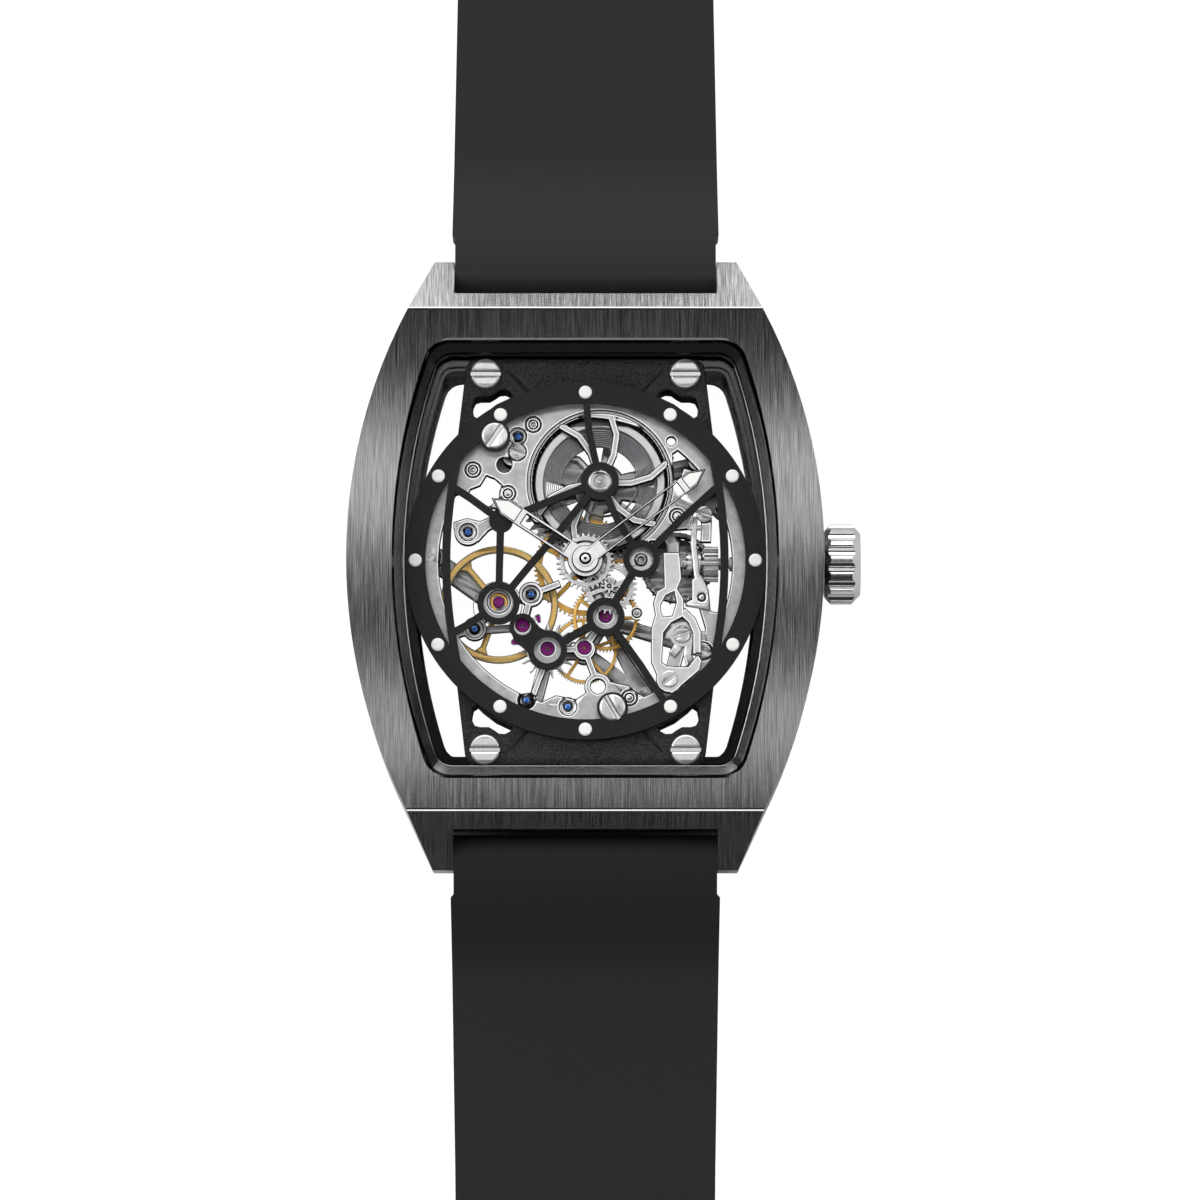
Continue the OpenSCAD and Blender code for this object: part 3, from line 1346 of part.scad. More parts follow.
case_middle();
bezel();
front_crystal();
rehaut();
case_back();
back_crystal();
case_back_screws();
crown();
winding_stem();
winding_pinion();
sliding_clutch();
setting_lever();
yoke();
keyless_cover();
setting_wheel();
crown_wheel();
crown_wheel_core();
ratchet_wheel();
click();
main_plate();
plate_pins();
plate_screws();
blue_screws();
barrel_bridge();
train_bridge();
balance_cock();
pallet_bridge();
bridge_screws();
jewels();
shock_spring();
barrel();
mainspring();
barrel_arbor();
centre_wheel();
third_wheel();
fourth_wheel();
escape_wheel();
pallet_fork();
pallet_stones();
balance_wheel();
hairspring();
cannon_pinion();
minute_wheel();
hour_wheel();
hour_hand();
minute_hand();
frame_upper();
frame_lower();
frame_screws();
dial_web();
hour_markers();
dial_screws();
strap_upper();
strap_lower();
spring_bars();
buckle_frame();
buckle_bar();
buckle_tongue();
fixed_keeper();
sliding_keeper();
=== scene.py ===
"""Skeleton wristwatch lying on a pale floor, dial up, in the row frame of the part: metres,
+Z towards the crystal, +Y towards 12 o'clock, +X towards the crown."""
import json
import math

import bmesh
import bpy
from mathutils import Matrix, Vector
from mathutils.geometry import tessellate_polygon


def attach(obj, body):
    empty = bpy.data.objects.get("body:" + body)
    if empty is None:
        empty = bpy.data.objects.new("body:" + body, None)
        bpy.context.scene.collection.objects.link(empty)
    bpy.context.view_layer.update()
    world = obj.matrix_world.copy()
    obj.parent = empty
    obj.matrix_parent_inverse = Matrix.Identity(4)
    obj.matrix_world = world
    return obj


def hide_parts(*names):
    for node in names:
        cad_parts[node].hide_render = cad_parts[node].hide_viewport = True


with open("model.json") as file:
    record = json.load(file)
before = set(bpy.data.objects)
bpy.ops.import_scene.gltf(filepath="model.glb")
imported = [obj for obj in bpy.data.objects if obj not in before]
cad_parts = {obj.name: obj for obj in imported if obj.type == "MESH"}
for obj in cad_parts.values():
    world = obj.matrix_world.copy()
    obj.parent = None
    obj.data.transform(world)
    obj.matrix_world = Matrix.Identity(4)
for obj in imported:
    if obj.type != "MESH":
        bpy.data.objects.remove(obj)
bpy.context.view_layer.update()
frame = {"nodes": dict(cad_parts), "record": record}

MM = 0.001
nodes = frame["nodes"]


# Materials

def new_material(name, colour):
    """A material with its Principled shader; colour is what a viewer without textures shows."""
    mat = bpy.data.materials.new(name)
    mat.use_nodes = True
    tree = mat.node_tree
    shader = tree.nodes["Principled BSDF"]
    shader.inputs["Base Color"].default_value = (*colour, 1)
    mat.diffuse_color = (*colour, 1)
    return mat, tree, shader


def placed_noise(tree, scale, stretch=(1, 1, 1), detail=3.0, roughness=0.6):
    """Noise fixed to the object; scale is features a metre, stretch multiplies it along each axis."""
    place = tree.nodes.new("ShaderNodeTexCoord")
    size = tree.nodes.new("ShaderNodeMapping")
    size.inputs["Scale"].default_value = [scale * s for s in stretch]
    noise = tree.nodes.new("ShaderNodeTexNoise")
    noise.inputs["Scale"].default_value = 1.0
    noise.inputs["Detail"].default_value = detail
    noise.inputs["Roughness"].default_value = roughness
    tree.links.new(place.outputs["Object"], size.inputs["Vector"])
    tree.links.new(size.outputs["Vector"], noise.inputs["Vector"])
    return noise.outputs["Fac"]


def between(tree, fac, low, high, start=0.3, end=0.7):
    """fac mapped from start..end onto low..high."""
    node = tree.nodes.new("ShaderNodeMapRange")
    node.inputs["From Min"].default_value = start
    node.inputs["From Max"].default_value = end
    node.inputs["To Min"].default_value = low
    node.inputs["To Max"].default_value = high
    tree.links.new(fac, node.inputs["Value"])
    return node.outputs["Result"]


def mixed(tree, fac, first, second):
    """A colour from first to second by fac; each is a socket or an RGB triple."""
    mix = tree.nodes.new("ShaderNodeMix")
    mix.data_type = "RGBA"
    tree.links.new(fac, mix.inputs[0])
    for socket, value in ((mix.inputs[6], first), (mix.inputs[7], second)):
        if isinstance(value, bpy.types.NodeSocket):
            tree.links.new(value, socket)
        else:
            socket.default_value = (*value, 1)
    return mix.outputs[2]


def math_node(tree, operation, first, second):
    """A Math node on two values, each a socket or a number."""
    node = tree.nodes.new("ShaderNodeMath")
    node.operation = operation
    for socket, value in zip(node.inputs, (first, second)):
        if isinstance(value, bpy.types.NodeSocket):
            tree.links.new(value, socket)
        else:
            socket.default_value = value
    return node.outputs[0]


def separated(tree, kind):
    """X, Y and Z in the object's own frame: of places for kind Object, of directions for Normal."""
    place = tree.nodes.new("ShaderNodeTexCoord")
    parts = tree.nodes.new("ShaderNodeSeparateXYZ")
    tree.links.new(place.outputs[kind], parts.inputs["Vector"])
    return parts.outputs


def level(tree):
    """How level a face lies in its own object: 1 for a top or bottom, 0 for a wall."""
    return math_node(tree, "ABSOLUTE", separated(tree, "Normal")["Z"], 0.0)


def bumped(tree, shader, fac, depth, strength):
    """A bump of the given depth in metres on the shader's normal."""
    bump = tree.nodes.new("ShaderNodeBump")
    bump.inputs["Distance"].default_value = depth
    bump.inputs["Strength"].default_value = strength
    tree.links.new(fac, bump.inputs["Height"])
    tree.links.new(bump.outputs["Normal"], shader.inputs["Normal"])


# Where one finish gives way to the next, from how level a face lies: grain on tops and walls, then the
# painted edge highlight and the painted wall shade
WALL_GRAIN_ENDS = (0.25, 0.35)
EDGE_BEGINS = (0.4, 0.55)
TOP_BEGINS = (0.9, 0.97)
WALL_ROUGH = 0.6
EDGE_ROUGH = 0.4
EDGE_SPECULAR = 0.5
METAL_ROUGH_SPREAD = (0.85, 1.15)
PAINT_ROUGH_SPREAD = (0.9, 1.1)


def metal(name, dark, light, rough, grain=9000, stretch=(1, 1, 1), depth=0.001, strength=0.2,
          metallic=1.0, wall=None, edge=None, detail=3.0, wall_stretch=None):
    """Metal with a grain from dark to light.

    wall_stretch gives its walls a grain of their own; wall paints shade on steep walls and edge paints a
    highlight on sloped edges.
    """
    mat, tree, shader = new_material(name, [(d + l) / 2 for d, l in zip(dark, light)])
    fac = placed_noise(tree, grain, stretch, detail)
    if wall_stretch is not None:
        lying = between(tree, level(tree), 0.0, 1.0, *WALL_GRAIN_ENDS)
        on_walls = placed_noise(tree, grain, wall_stretch, detail)
        on_tops = math_node(tree, "MULTIPLY", fac, lying)
        on_walls = math_node(tree, "MULTIPLY", on_walls, math_node(tree, "SUBTRACT", 1.0, lying))
        fac = math_node(tree, "ADD", on_tops, on_walls)
    colour = mixed(tree, between(tree, fac, 0.0, 1.0), dark, light)
    roughness = between(tree, fac, *(rough * times for times in METAL_ROUGH_SPREAD))
    shader.inputs["Metallic"].default_value = metallic
    # Painted shade in the wall colour on steep walls and a painted highlight in the edge colour on
    # sloped edges, from how level a face lies
    if edge is not None:
        lying = level(tree)
        top_share = between(tree, lying, 0.0, 1.0, *TOP_BEGINS)
        edge_share = between(tree, lying, 0.0, 1.0, *EDGE_BEGINS)
        colour = mixed(tree, top_share, mixed(tree, edge_share, wall, edge), colour)
        change = math_node(tree, "SUBTRACT", roughness, EDGE_ROUGH)
        change = math_node(tree, "MULTIPLY", change, top_share)
        below_top = between(tree, lying, WALL_ROUGH, EDGE_ROUGH, *EDGE_BEGINS)
        roughness = math_node(tree, "ADD", change, below_top)
        tree.links.new(math_node(tree, "MULTIPLY", edge_share, metallic), shader.inputs["Metallic"])
        specular = math_node(tree, "MULTIPLY", edge_share, EDGE_SPECULAR)
        tree.links.new(specular, shader.inputs["Specular IOR Level"])
    tree.links.new(colour, shader.inputs["Base Color"])
    tree.links.new(roughness, shader.inputs["Roughness"])
    bumped(tree, shader, fac, depth * MM, strength)
    return mat


def paint(name, dark, light, rough, grain=9000, depth=0.01, strength=0.3, specular=0.5,
          detail=4.0):
    """Paint, coating, rubber or enamel with a fine grain."""
    mat, tree, shader = new_material(name, [(d + l) / 2 for d, l in zip(dark, light)])
    fac = placed_noise(tree, grain, detail=detail)
    tree.links.new(mixed(tree, between(tree, fac, 0.0, 1.0), dark, light), shader.inputs["Base Color"])
    roughness = between(tree, fac, *(rough * times for times in PAINT_ROUGH_SPREAD))
    tree.links.new(roughness, shader.inputs["Roughness"])
    shader.inputs["Specular IOR Level"].default_value = specular
    bumped(tree, shader, fac, depth * MM, strength)
    return mat


def gem(name, dark, light):
    """Polished synthetic ruby."""
    mat = paint(name, dark, light, 0.08, grain=1500, depth=0.001, strength=0.05, specular=0.8)
    shader = mat.node_tree.nodes["Principled BSDF"]
    shader.inputs["Coat Weight"].default_value = 0.6
    shader.inputs["Coat Roughness"].default_value = 0.05
    return mat


def crystal(name, tint, shine):
    """Thin clear crystal: light passes straight through, and seen from the side the room shows on it.

    Its outer face alone reflects, and only what goes beyond the reflection seen from straight above.
    """
    ior, seen_from_above, grain, smoothness = 1.3, 0.03, 400, (0.01, 0.03)
    mat = bpy.data.materials.new(name)
    mat.use_nodes = True
    tree = mat.node_tree
    tree.nodes.clear()
    out = tree.nodes.new("ShaderNodeOutputMaterial")
    clear = tree.nodes.new("ShaderNodeBsdfTransparent")
    gloss = tree.nodes.new("ShaderNodeBsdfGlossy")
    mix = tree.nodes.new("ShaderNodeMixShader")
    fresnel = tree.nodes.new("ShaderNodeFresnel")
    clear.inputs["Color"].default_value = (*tint, 1)
    fresnel.inputs["IOR"].default_value = ior
    tree.links.new(between(tree, placed_noise(tree, grain), *smoothness), gloss.inputs["Roughness"])
    backfacing = tree.nodes.new("ShaderNodeNewGeometry").outputs["Backfacing"]
    outside = math_node(tree, "SUBTRACT", 1.0, backfacing)
    slanting = math_node(tree, "SUBTRACT", fresnel.outputs["Fac"], seen_from_above)
    seen = math_node(tree, "MULTIPLY", math_node(tree, "MAXIMUM", slanting, 0.0), shine)
    tree.links.new(math_node(tree, "MULTIPLY", seen, outside), mix.inputs["Fac"])
    tree.links.new(clear.outputs["BSDF"], mix.inputs[1])
    tree.links.new(gloss.outputs["BSDF"], mix.inputs[2])
    tree.links.new(mix.outputs["Shader"], out.inputs["Surface"])
    return mat


def blacken_inside(mat, half_w, side_r, half_h, below_z):
    """Turns the material to polished black inside the barrel-shaped opening of the case.

    That is on steep walls and everywhere below below_z. half_w, half_h and side_r are the opening's
    half sizes and the radius of its bowed sides, in mm.
    """
    black, black_rough, steep_below = (0.035, 0.035, 0.037), 0.14, 0.5
    tree = mat.node_tree
    shader = tree.nodes["Principled BSDF"]
    place = separated(tree, "Object")
    across = math_node(tree, "ABSOLUTE", place["X"], 0.0)
    along = math_node(tree, "ABSOLUTE", place["Y"], 0.0)
    squared = math_node(tree, "MULTIPLY", along, along)
    sag = math_node(tree, "MULTIPLY", squared, 0.5 / (side_r * MM))
    side = math_node(tree, "LESS_THAN", math_node(tree, "ADD", across, sag), half_w * MM)
    inside = math_node(tree, "MULTIPLY", side, math_node(tree, "LESS_THAN", along, half_h * MM))
    low = math_node(tree, "LESS_THAN", place["Z"], below_z * MM)
    steep = math_node(tree, "LESS_THAN", level(tree), steep_below)
    inside = math_node(tree, "MULTIPLY", inside, math_node(tree, "MAXIMUM", low, steep))
    colour = shader.inputs["Base Color"].links[0].from_socket
    tree.links.new(mixed(tree, inside, colour, black), shader.inputs["Base Color"])
    roughness = shader.inputs["Roughness"].links[0].from_socket
    change = math_node(tree, "MULTIPLY", math_node(tree, "SUBTRACT", black_rough, roughness), inside)
    tree.links.new(math_node(tree, "ADD", roughness, change), shader.inputs["Roughness"])


def paint_slope_reflection(mat, lean_deg, times):
    """Paints a reflection on the lug slopes, which lean to 12 or 6 o'clock by lean_deg, multiplying
    their colour by times.
    """
    tolerance = 0.05
    tree = mat.node_tree
    shader = tree.nodes["Principled BSDF"]
    lean = math_node(tree, "ABSOLUTE", separated(tree, "Normal")["Y"], 0.0)
    sloped = math_node(tree, "COMPARE", lean, math.sin(math.radians(lean_deg)))
    sloped.node.inputs[2].default_value = tolerance
    brighter = tree.nodes.new("ShaderNodeMix")
    brighter.data_type = "RGBA"
    brighter.blend_type = "MULTIPLY"
    brighter.inputs[7].default_value = (times, times, times, 1)
    tree.links.new(sloped, brighter.inputs[0])
    tree.links.new(shader.inputs["Base Color"].links[0].from_socket, brighter.inputs[6])
    tree.links.new(brighter.outputs[2], shader.inputs["Base Color"])


ALONG_Y = (1, 0.02, 0.03)
LEVEL_ON_WALLS = (0.02, 0.02, 1)
# Painted shade for steep metal walls and a painted highlight for sloped edges; every metal below given
# wall and edge colours carries both
PAINTED_WALL_SHADE = (0.02, 0.02, 0.021)
PAINTED_RIM_HIGHLIGHT = (0.95, 0.95, 0.96)
finishes = {
    "case_steel": metal("case_steel", (0.08, 0.08, 0.082), (0.28, 0.28, 0.285), 0.2, grain=13000,
                        stretch=ALONG_Y, wall_stretch=LEVEL_ON_WALLS, depth=0.012, strength=0.45),
    "flange_black": metal("flange_black", (0.03, 0.03, 0.032), (0.05, 0.05, 0.052), 0.1, depth=0.001),
    # A painted highlight for two slopes of the black flange
    "flange_painted_highlight": metal("flange_painted_highlight", (0.16, 0.16, 0.163), (0.22, 0.22, 0.223), 0.2),
    "crystal": crystal("crystal", (0.995, 0.995, 0.995), 0.7),
    "crown_steel": metal("crown_steel", (0.45, 0.45, 0.46), (0.6, 0.6, 0.61), 0.16),
    "plate_silver": metal("plate_silver", (0.34, 0.34, 0.345), (0.56, 0.56, 0.565), 0.36, grain=900,
                          depth=0.002, strength=0.3, metallic=0.9, wall=PAINTED_WALL_SHADE, edge=PAINTED_RIM_HIGHLIGHT,
                          detail=5.0),
    "polished_steel": metal("polished_steel", (0.5, 0.5, 0.505), (0.6, 0.6, 0.605), 0.32, grain=1500,
                            depth=0.0005, metallic=0.95, wall=PAINTED_WALL_SHADE, edge=PAINTED_RIM_HIGHLIGHT),
    "spoked_steel": metal("spoked_steel", (0.42, 0.42, 0.425), (0.52, 0.52, 0.525), 0.3, grain=1500,
                          depth=0.0005, metallic=0.95, wall=PAINTED_WALL_SHADE, edge=PAINTED_RIM_HIGHLIGHT),
    "spring_steel": metal("spring_steel", (0.2, 0.2, 0.205), (0.34, 0.34, 0.345), 0.3, grain=6000),
    "blue_steel": metal("blue_steel", (0.01, 0.07, 0.36), (0.02, 0.14, 0.55), 0.2, metallic=0.7,
                        wall=(0.004, 0.01, 0.03), edge=(0.2, 0.35, 0.7)),
    "gilt": metal("gilt", (0.82, 0.43, 0.07), (0.93, 0.54, 0.13), 0.34, grain=5000, metallic=0.5,
                  wall=(0.16, 0.06, 0.01), edge=(1.0, 0.78, 0.36)),
    # A paler gilt, its colour also raised against the shade the bridges cast on the balance: partly real
    # tone, partly painted light
    "pale_gilt": metal("pale_gilt", (0.9, 0.55, 0.14), (0.98, 0.66, 0.22), 0.34, grain=5000,
                       metallic=0.4, wall=(0.2, 0.1, 0.02), edge=(1.0, 0.84, 0.5)),
    "ruby": gem("ruby", (0.26, 0.008, 0.2), (0.5, 0.04, 0.4)),
    "frame_black": paint("frame_black", (0.001, 0.001, 0.001), (0.035, 0.035, 0.035), 0.5, grain=7000,
                         depth=0.03, strength=0.9, detail=1.0, specular=0.2),
    "web_black": paint("web_black", (0.003, 0.003, 0.003), (0.006, 0.006, 0.006), 0.45, grain=5000,
                       depth=0.004, strength=0.25, specular=0.25),
    "screw_steel": metal("screw_steel", (0.5, 0.5, 0.51), (0.68, 0.68, 0.69), 0.32, grain=9000,
                         stretch=(1, 0.08, 1), metallic=0.9, wall=PAINTED_WALL_SHADE, edge=PAINTED_RIM_HIGHLIGHT),
    # Painted shade and painted highlight, for laid bands and ridge strips
    "painted_edge_shade": paint("painted_edge_shade", (0.01, 0.01, 0.01), (0.02, 0.02, 0.02), 0.6, specular=0.0),
    "painted_edge_highlight": metal("painted_edge_highlight", (0.88, 0.88, 0.89), (0.95, 0.95, 0.96), 0.4),
    "painted_gilt_highlight": metal("painted_gilt_highlight", (0.9, 0.6, 0.2), (1.0, 0.72, 0.3), 0.4),
    "marker_white": paint("marker_white", (0.84, 0.84, 0.82), (0.92, 0.92, 0.9), 0.5),
    "hand_steel": metal("hand_steel", (0.66, 0.66, 0.67), (0.78, 0.78, 0.79), 0.36, grain=1500,
                        depth=0.0005, metallic=0.9, wall=(0.01, 0.01, 0.011), edge=PAINTED_RIM_HIGHLIGHT),
    "strap_rubber": paint("strap_rubber", (0.009, 0.009, 0.009), (0.015, 0.015, 0.015), 0.62, grain=6000,
                          depth=0.012, strength=0.35, specular=0.2),
}
blacken_inside(finishes["case_steel"], half_w=16.6, side_r=50, half_h=18.75, below_z=7.3)
# Painted reflection: the lug slopes 2.4 times lighter in colour
paint_slope_reflection(finishes["case_steel"], lean_deg=42.8, times=2.4)

bodies = frame["record"]["behaviour"]["bodies"]
body_of = {node: body for body, members in bodies.items() for node in members}
slot_of = {s["node"]: s["material_slot"] for s in frame["record"]["subparts"]}


# Objects and the finish of the CAD nodes

def add_object(name, data):
    """An object with this data, in the scene."""
    obj = bpy.data.objects.new(name, data)
    bpy.context.scene.collection.objects.link(obj)
    return obj


def shade_smooth(mesh, smooth=True):
    """All faces smooth, or all flat."""
    mesh.polygons.foreach_set("use_smooth", [smooth] * len(mesh.polygons))


# CAD nodes are joined where their points are closer than this
JOIN_MM = 0.0005
BEVEL_FROM_DEG = 35
BEVEL_MM = {
    "buckle_frame": 0.3, "buckle_tongue": 0.25, "fixed_keeper": 0.3, "sliding_keeper": 0.3,
    "strap_upper": 0.25, "strap_lower": 0.25,
}


def finish_node(name, obj):
    """The slot's finish, and on the strap and its fittings joined faces and a bevel on sharp edges."""
    obj.data.materials.clear()
    obj.data.materials.append(finishes[slot_of[name]])
    if name not in BEVEL_MM:
        return
    shade_smooth(obj.data)
    kept_normals = obj.data.attributes.get("custom_normal")
    if kept_normals:
        obj.data.attributes.remove(kept_normals)
    joined = obj.modifiers.new("joined", "WELD")
    joined.merge_threshold = JOIN_MM * MM
    bevel = obj.modifiers.new("edges", "BEVEL")
    bevel.width = BEVEL_MM[name] * MM
    bevel.segments = 3
    bevel.limit_method = "ANGLE"
    bevel.angle_limit = math.radians(BEVEL_FROM_DEG)
    bevel.harden_normals = True


for node_name, node_object in nodes.items():
    finish_node(node_name, node_object)


# Pieces made here in place of plainer CAD nodes

SHARP_FROM_DEG = 25


def new_piece(name, points, faces, body, finish, stands_for=(), smooth=True):
    """A mesh piece from points in mm, riding on a body and standing for CAD nodes."""
    mesh = bpy.data.meshes.new(name)
    mesh.from_pydata([(x * MM, y * MM, z * MM) for x, y, z in points], [], faces)
    mesh.validate()
    shell = bmesh.new()
    shell.from_mesh(mesh)
    bmesh.ops.recalc_face_normals(shell, faces=shell.faces)
    shell.to_mesh(mesh)
    shell.free()
    obj = add_object(name, mesh)
    mesh.materials.append(finishes[finish])
    shade_smooth(mesh, smooth)
    if smooth:
        mesh.set_sharp_from_angle(angle=math.radians(SHARP_FROM_DEG))
    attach(obj, body)
    if stands_for:
        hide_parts(*stands_for)
    return obj


def arc_points(cx, cy, r, start, end, steps):
    """Points on an arc, in degrees."""
    turns = [math.radians(start + (end - start) * i / steps) for i in range(steps + 1)]
    return [(cx + r * math.cos(t), cy + r * math.sin(t)) for t in turns]


def tonneau(half_w, side_r, half_h, corner_r, side_steps=28, corner_steps=8):
    """The barrel-shaped outline of the case opening: bowed sides, straight ends, round corners."""
    back = side_r - half_w
    cy = half_h - corner_r
    cx = math.sqrt((side_r - corner_r) ** 2 - cy * cy) - back
    turn = math.degrees(math.asin(cy / (side_r - corner_r)))
    return (arc_points(-back, 0, side_r, -turn, turn, side_steps)
            + arc_points(cx, cy, corner_r, turn, 90, corner_steps)
            + arc_points(-cx, cy, corner_r, 90, 180 - turn, corner_steps)
            + arc_points(back, 0, side_r, 180 - turn, 180 + turn, side_steps)
            + arc_points(-cx, -cy, corner_r, 180 + turn, 270, corner_steps)
            + arc_points(cx, -cy, corner_r, 270, 360 - turn, corner_steps))


def lofted(rings):
    """Faces between rings of equal length; each ring is a closed list of points."""
    count = len(rings[0])
    points = [p for ring in rings for p in ring]
    faces = []
    for k in range(len(rings) - 1):
        for i in range(count):
            j = (i + 1) % count
            faces.append((k * count + i, k * count + j, (k + 1) * count + j, (k + 1) * count + i))
    return points, faces


def joined_shapes(shapes):
    """Several (points, faces) shapes as one."""
    points, faces = [], []
    for more_points, more_faces in shapes:
        start = len(points)
        points += more_points
        faces += [tuple(start + i for i in face) for face in more_faces]
    return points, faces


def turned(profile, centre=(0, 0), steps=48):
    """A body of revolution; its (radius, z) profile starts and ends on the axis or is closed."""
    rings = []
    for r, z in profile:
        rings.append([(centre[0] + r * math.cos(math.tau * i / steps),
                       centre[1] + r * math.sin(math.tau * i / steps), z) for i in range(steps)])
    points, faces = lofted(rings)
    if profile[0] != profile[-1]:
        faces.append(tuple(range(steps)))
        faces.append(tuple((len(rings) - 1) * steps + i for i in range(steps)))
    return points, faces


# Keeps a very sharp corner from moving too far when its outline is inset
LEAST_CORNER_DIVISOR = 0.3


def shifted(loop, inset):
    """The outline moved to its left by inset, with its corners kept sharp."""
    count = len(loop)
    lefts = []
    for i in range(count):
        step = Vector(loop[(i + 1) % count]) - Vector(loop[i])
        lefts.append(Vector((-step.y, step.x)).normalized())
    moved = []
    for i in range(count):
        before, after = lefts[i - 1], lefts[i]
        move = (before + after) * (inset / max(1 + before.dot(after), LEAST_CORNER_DIVISOR))
        moved.append((loop[i][0] + move.x, loop[i][1] + move.y))
    return moved


def flat_plate(outer, holes, low, high, flank):
    """A flat plate from an anticlockwise outline and clockwise holes; its walls lean in by flank."""
    loops = [outer] + list(holes)
    count = sum(len(loop) for loop in loops)
    points = []
    for z, inset in ((low, 0.0), (high, flank)):
        for loop in loops:
            points += [(x, y, z) for x, y in shifted(loop, inset)]
    caps = tessellate_polygon([[Vector((x, y, 0)) for x, y in loop] for loop in loops])
    faces = [tuple(cap) for cap in caps] + [tuple(i + count for i in cap) for cap in caps]
    start = 0
    for loop in loops:
        size = len(loop)
        for i in range(size):
            j = (i + 1) % size
            faces.append((start + i, start + j, start + j + count, start + i + count))
        start += size
    return points, faces


def top_regions(work):
    """Groups of joined level faces that look up and whose borders mostly fall away.

    The groups are dictionaries with the faces as keys: unlike sets they keep their order in every run.
    """
    level_from, least_drop, falling_share = 0.999, 0.001 * MM, 0.5
    left = {face: True for face in work.faces if face.normal.z > level_from}
    groups = []
    while left:
        group, queue = {}, [left.popitem()[0]]
        while queue:
            face = queue.pop()
            group[face] = True
            for edge in face.edges:
                for other in edge.link_faces:
                    if other in left:
                        del left[other]
                        queue.append(other)
        falling, total = 0.0, 0.0
        for face in group:
            for edge in face.edges:
                others = [other for other in edge.link_faces if other not in group]
                if others:
                    length = edge.calc_length()
                    total += length
                    if others[0].calc_center_median().z < edge.verts[0].co.z - least_drop:
                        falling += length
        if total and falling > falling_share * total:
            groups.append(group)
    return groups


def border_loops(group):
    """The closed borders of a group of faces, as lists of vertices with the faces on their left.

    None where two borders touch at a vertex, because they can't be told apart there.
    """
    after = {}
    for face in group:
        for corner in face.loops:
            if any(other not in group for other in corner.edge.link_faces):
                if corner.vert in after:
                    return None
                after[corner.vert] = corner.link_loop_next.vert
    loops = []
    while after:
        start, vert = after.popitem()
        loop = [start]
        while vert != start:
            loop.append(vert)
            vert = after.pop(vert)
        loops.append(loop)
    return loops


def inset_loop(loop, inset):
    """The loop shifted inwards; stretches that would turn back on themselves shrink to a point."""
    rounds, rounding_error = 12, 1e-12
    moved = [Vector(point) for point in shifted(loop, inset)]
    count = len(loop)
    for _ in range(rounds):
        turned_back = False
        for i in range(count):
            j = (i + 1) % count
            old = Vector(loop[j]) - Vector(loop[i])
            new = moved[j] - moved[i]
            if new.dot(old) < -rounding_error:
                moved[i] = moved[j] = (moved[i] + moved[j]) / 2
                turned_back = True
        if not turned_back:
            break
    return [(point.x, point.y) for point in moved]


def signed_area(loop):
    """Twice the area inside a loop, negative for a clockwise one."""
    return sum(a[0] * b[1] - b[0] * a[1] for a, b in zip(loop, loop[1:] + loop[:1]))


def filled(loops):
    """Triangles that fill the loops, or None where the loops cross and can't be filled well."""
    area_tolerance = 0.004
    points = [point for loop in loops for point in loop]
    triangles, area = [], 0.0
    for face in tessellate_polygon([[Vector((x, y, 0)) for x, y in loop] for loop in loops]):
        if len(set(face)) == 3:
            part = signed_area([points[i] for i in face])
            triangles.append(face if part >= 0 else face[::-1])
            area += abs(part)
    wanted = sum(signed_area(loop) for loop in loops)
    if wanted <= 0 or abs(area - wanted) > area_tolerance * wanted:
        return None
    return triangles


# Places of the painted shade and painted highlight materials in an edge-finished copy, after its slot's
# own
PAINTED_SHADE_PLACE, PAINTED_HIGHLIGHT_PLACE = 1, 2


def lay_bands(work, outlines, top_z, flank_w, chamfer_to):
    """Closed bands of painted shade and painted highlight along the borders of a face too intricate to
    rebuild.

    They stand a few microns above it, in place of the flank and chamfer, and reach down into it.
    """
    border_gap, foot_depth, dark_lift, bright_lift = 0.003, 0.03, 0.004, 0.002
    for outline in outlines:
        rings = [inset_loop(outline, inset) for inset in (border_gap, flank_w, chamfer_to)]
        bands = ((dark_lift, PAINTED_SHADE_PLACE, *rings[:2]), (bright_lift, PAINTED_HIGHLIGHT_PLACE, *rings[1:]))
        for lift, material, outer, inner in bands:
            section = ((outer, -foot_depth), (outer, lift), (inner, lift), (inner, -foot_depth))
            loops = [[work.verts.new((x * MM, y * MM, top_z + z * MM)) for x, y in ring]
                     for ring, z in section]
            for first, second in zip(loops, loops[1:] + loops[:1]):
                for i in range(len(outline)):
                    j = (i + 1) % len(outline)
                    face = work.faces.new((first[i], first[j], second[j], second[i]))
                    face.material_index = material


SMALL_FACE_MM2 = 0.3
# Full sizes are tried first, then smaller ones where the insets of a face would meet
SIZE_SHARES = (1.0, 0.8)


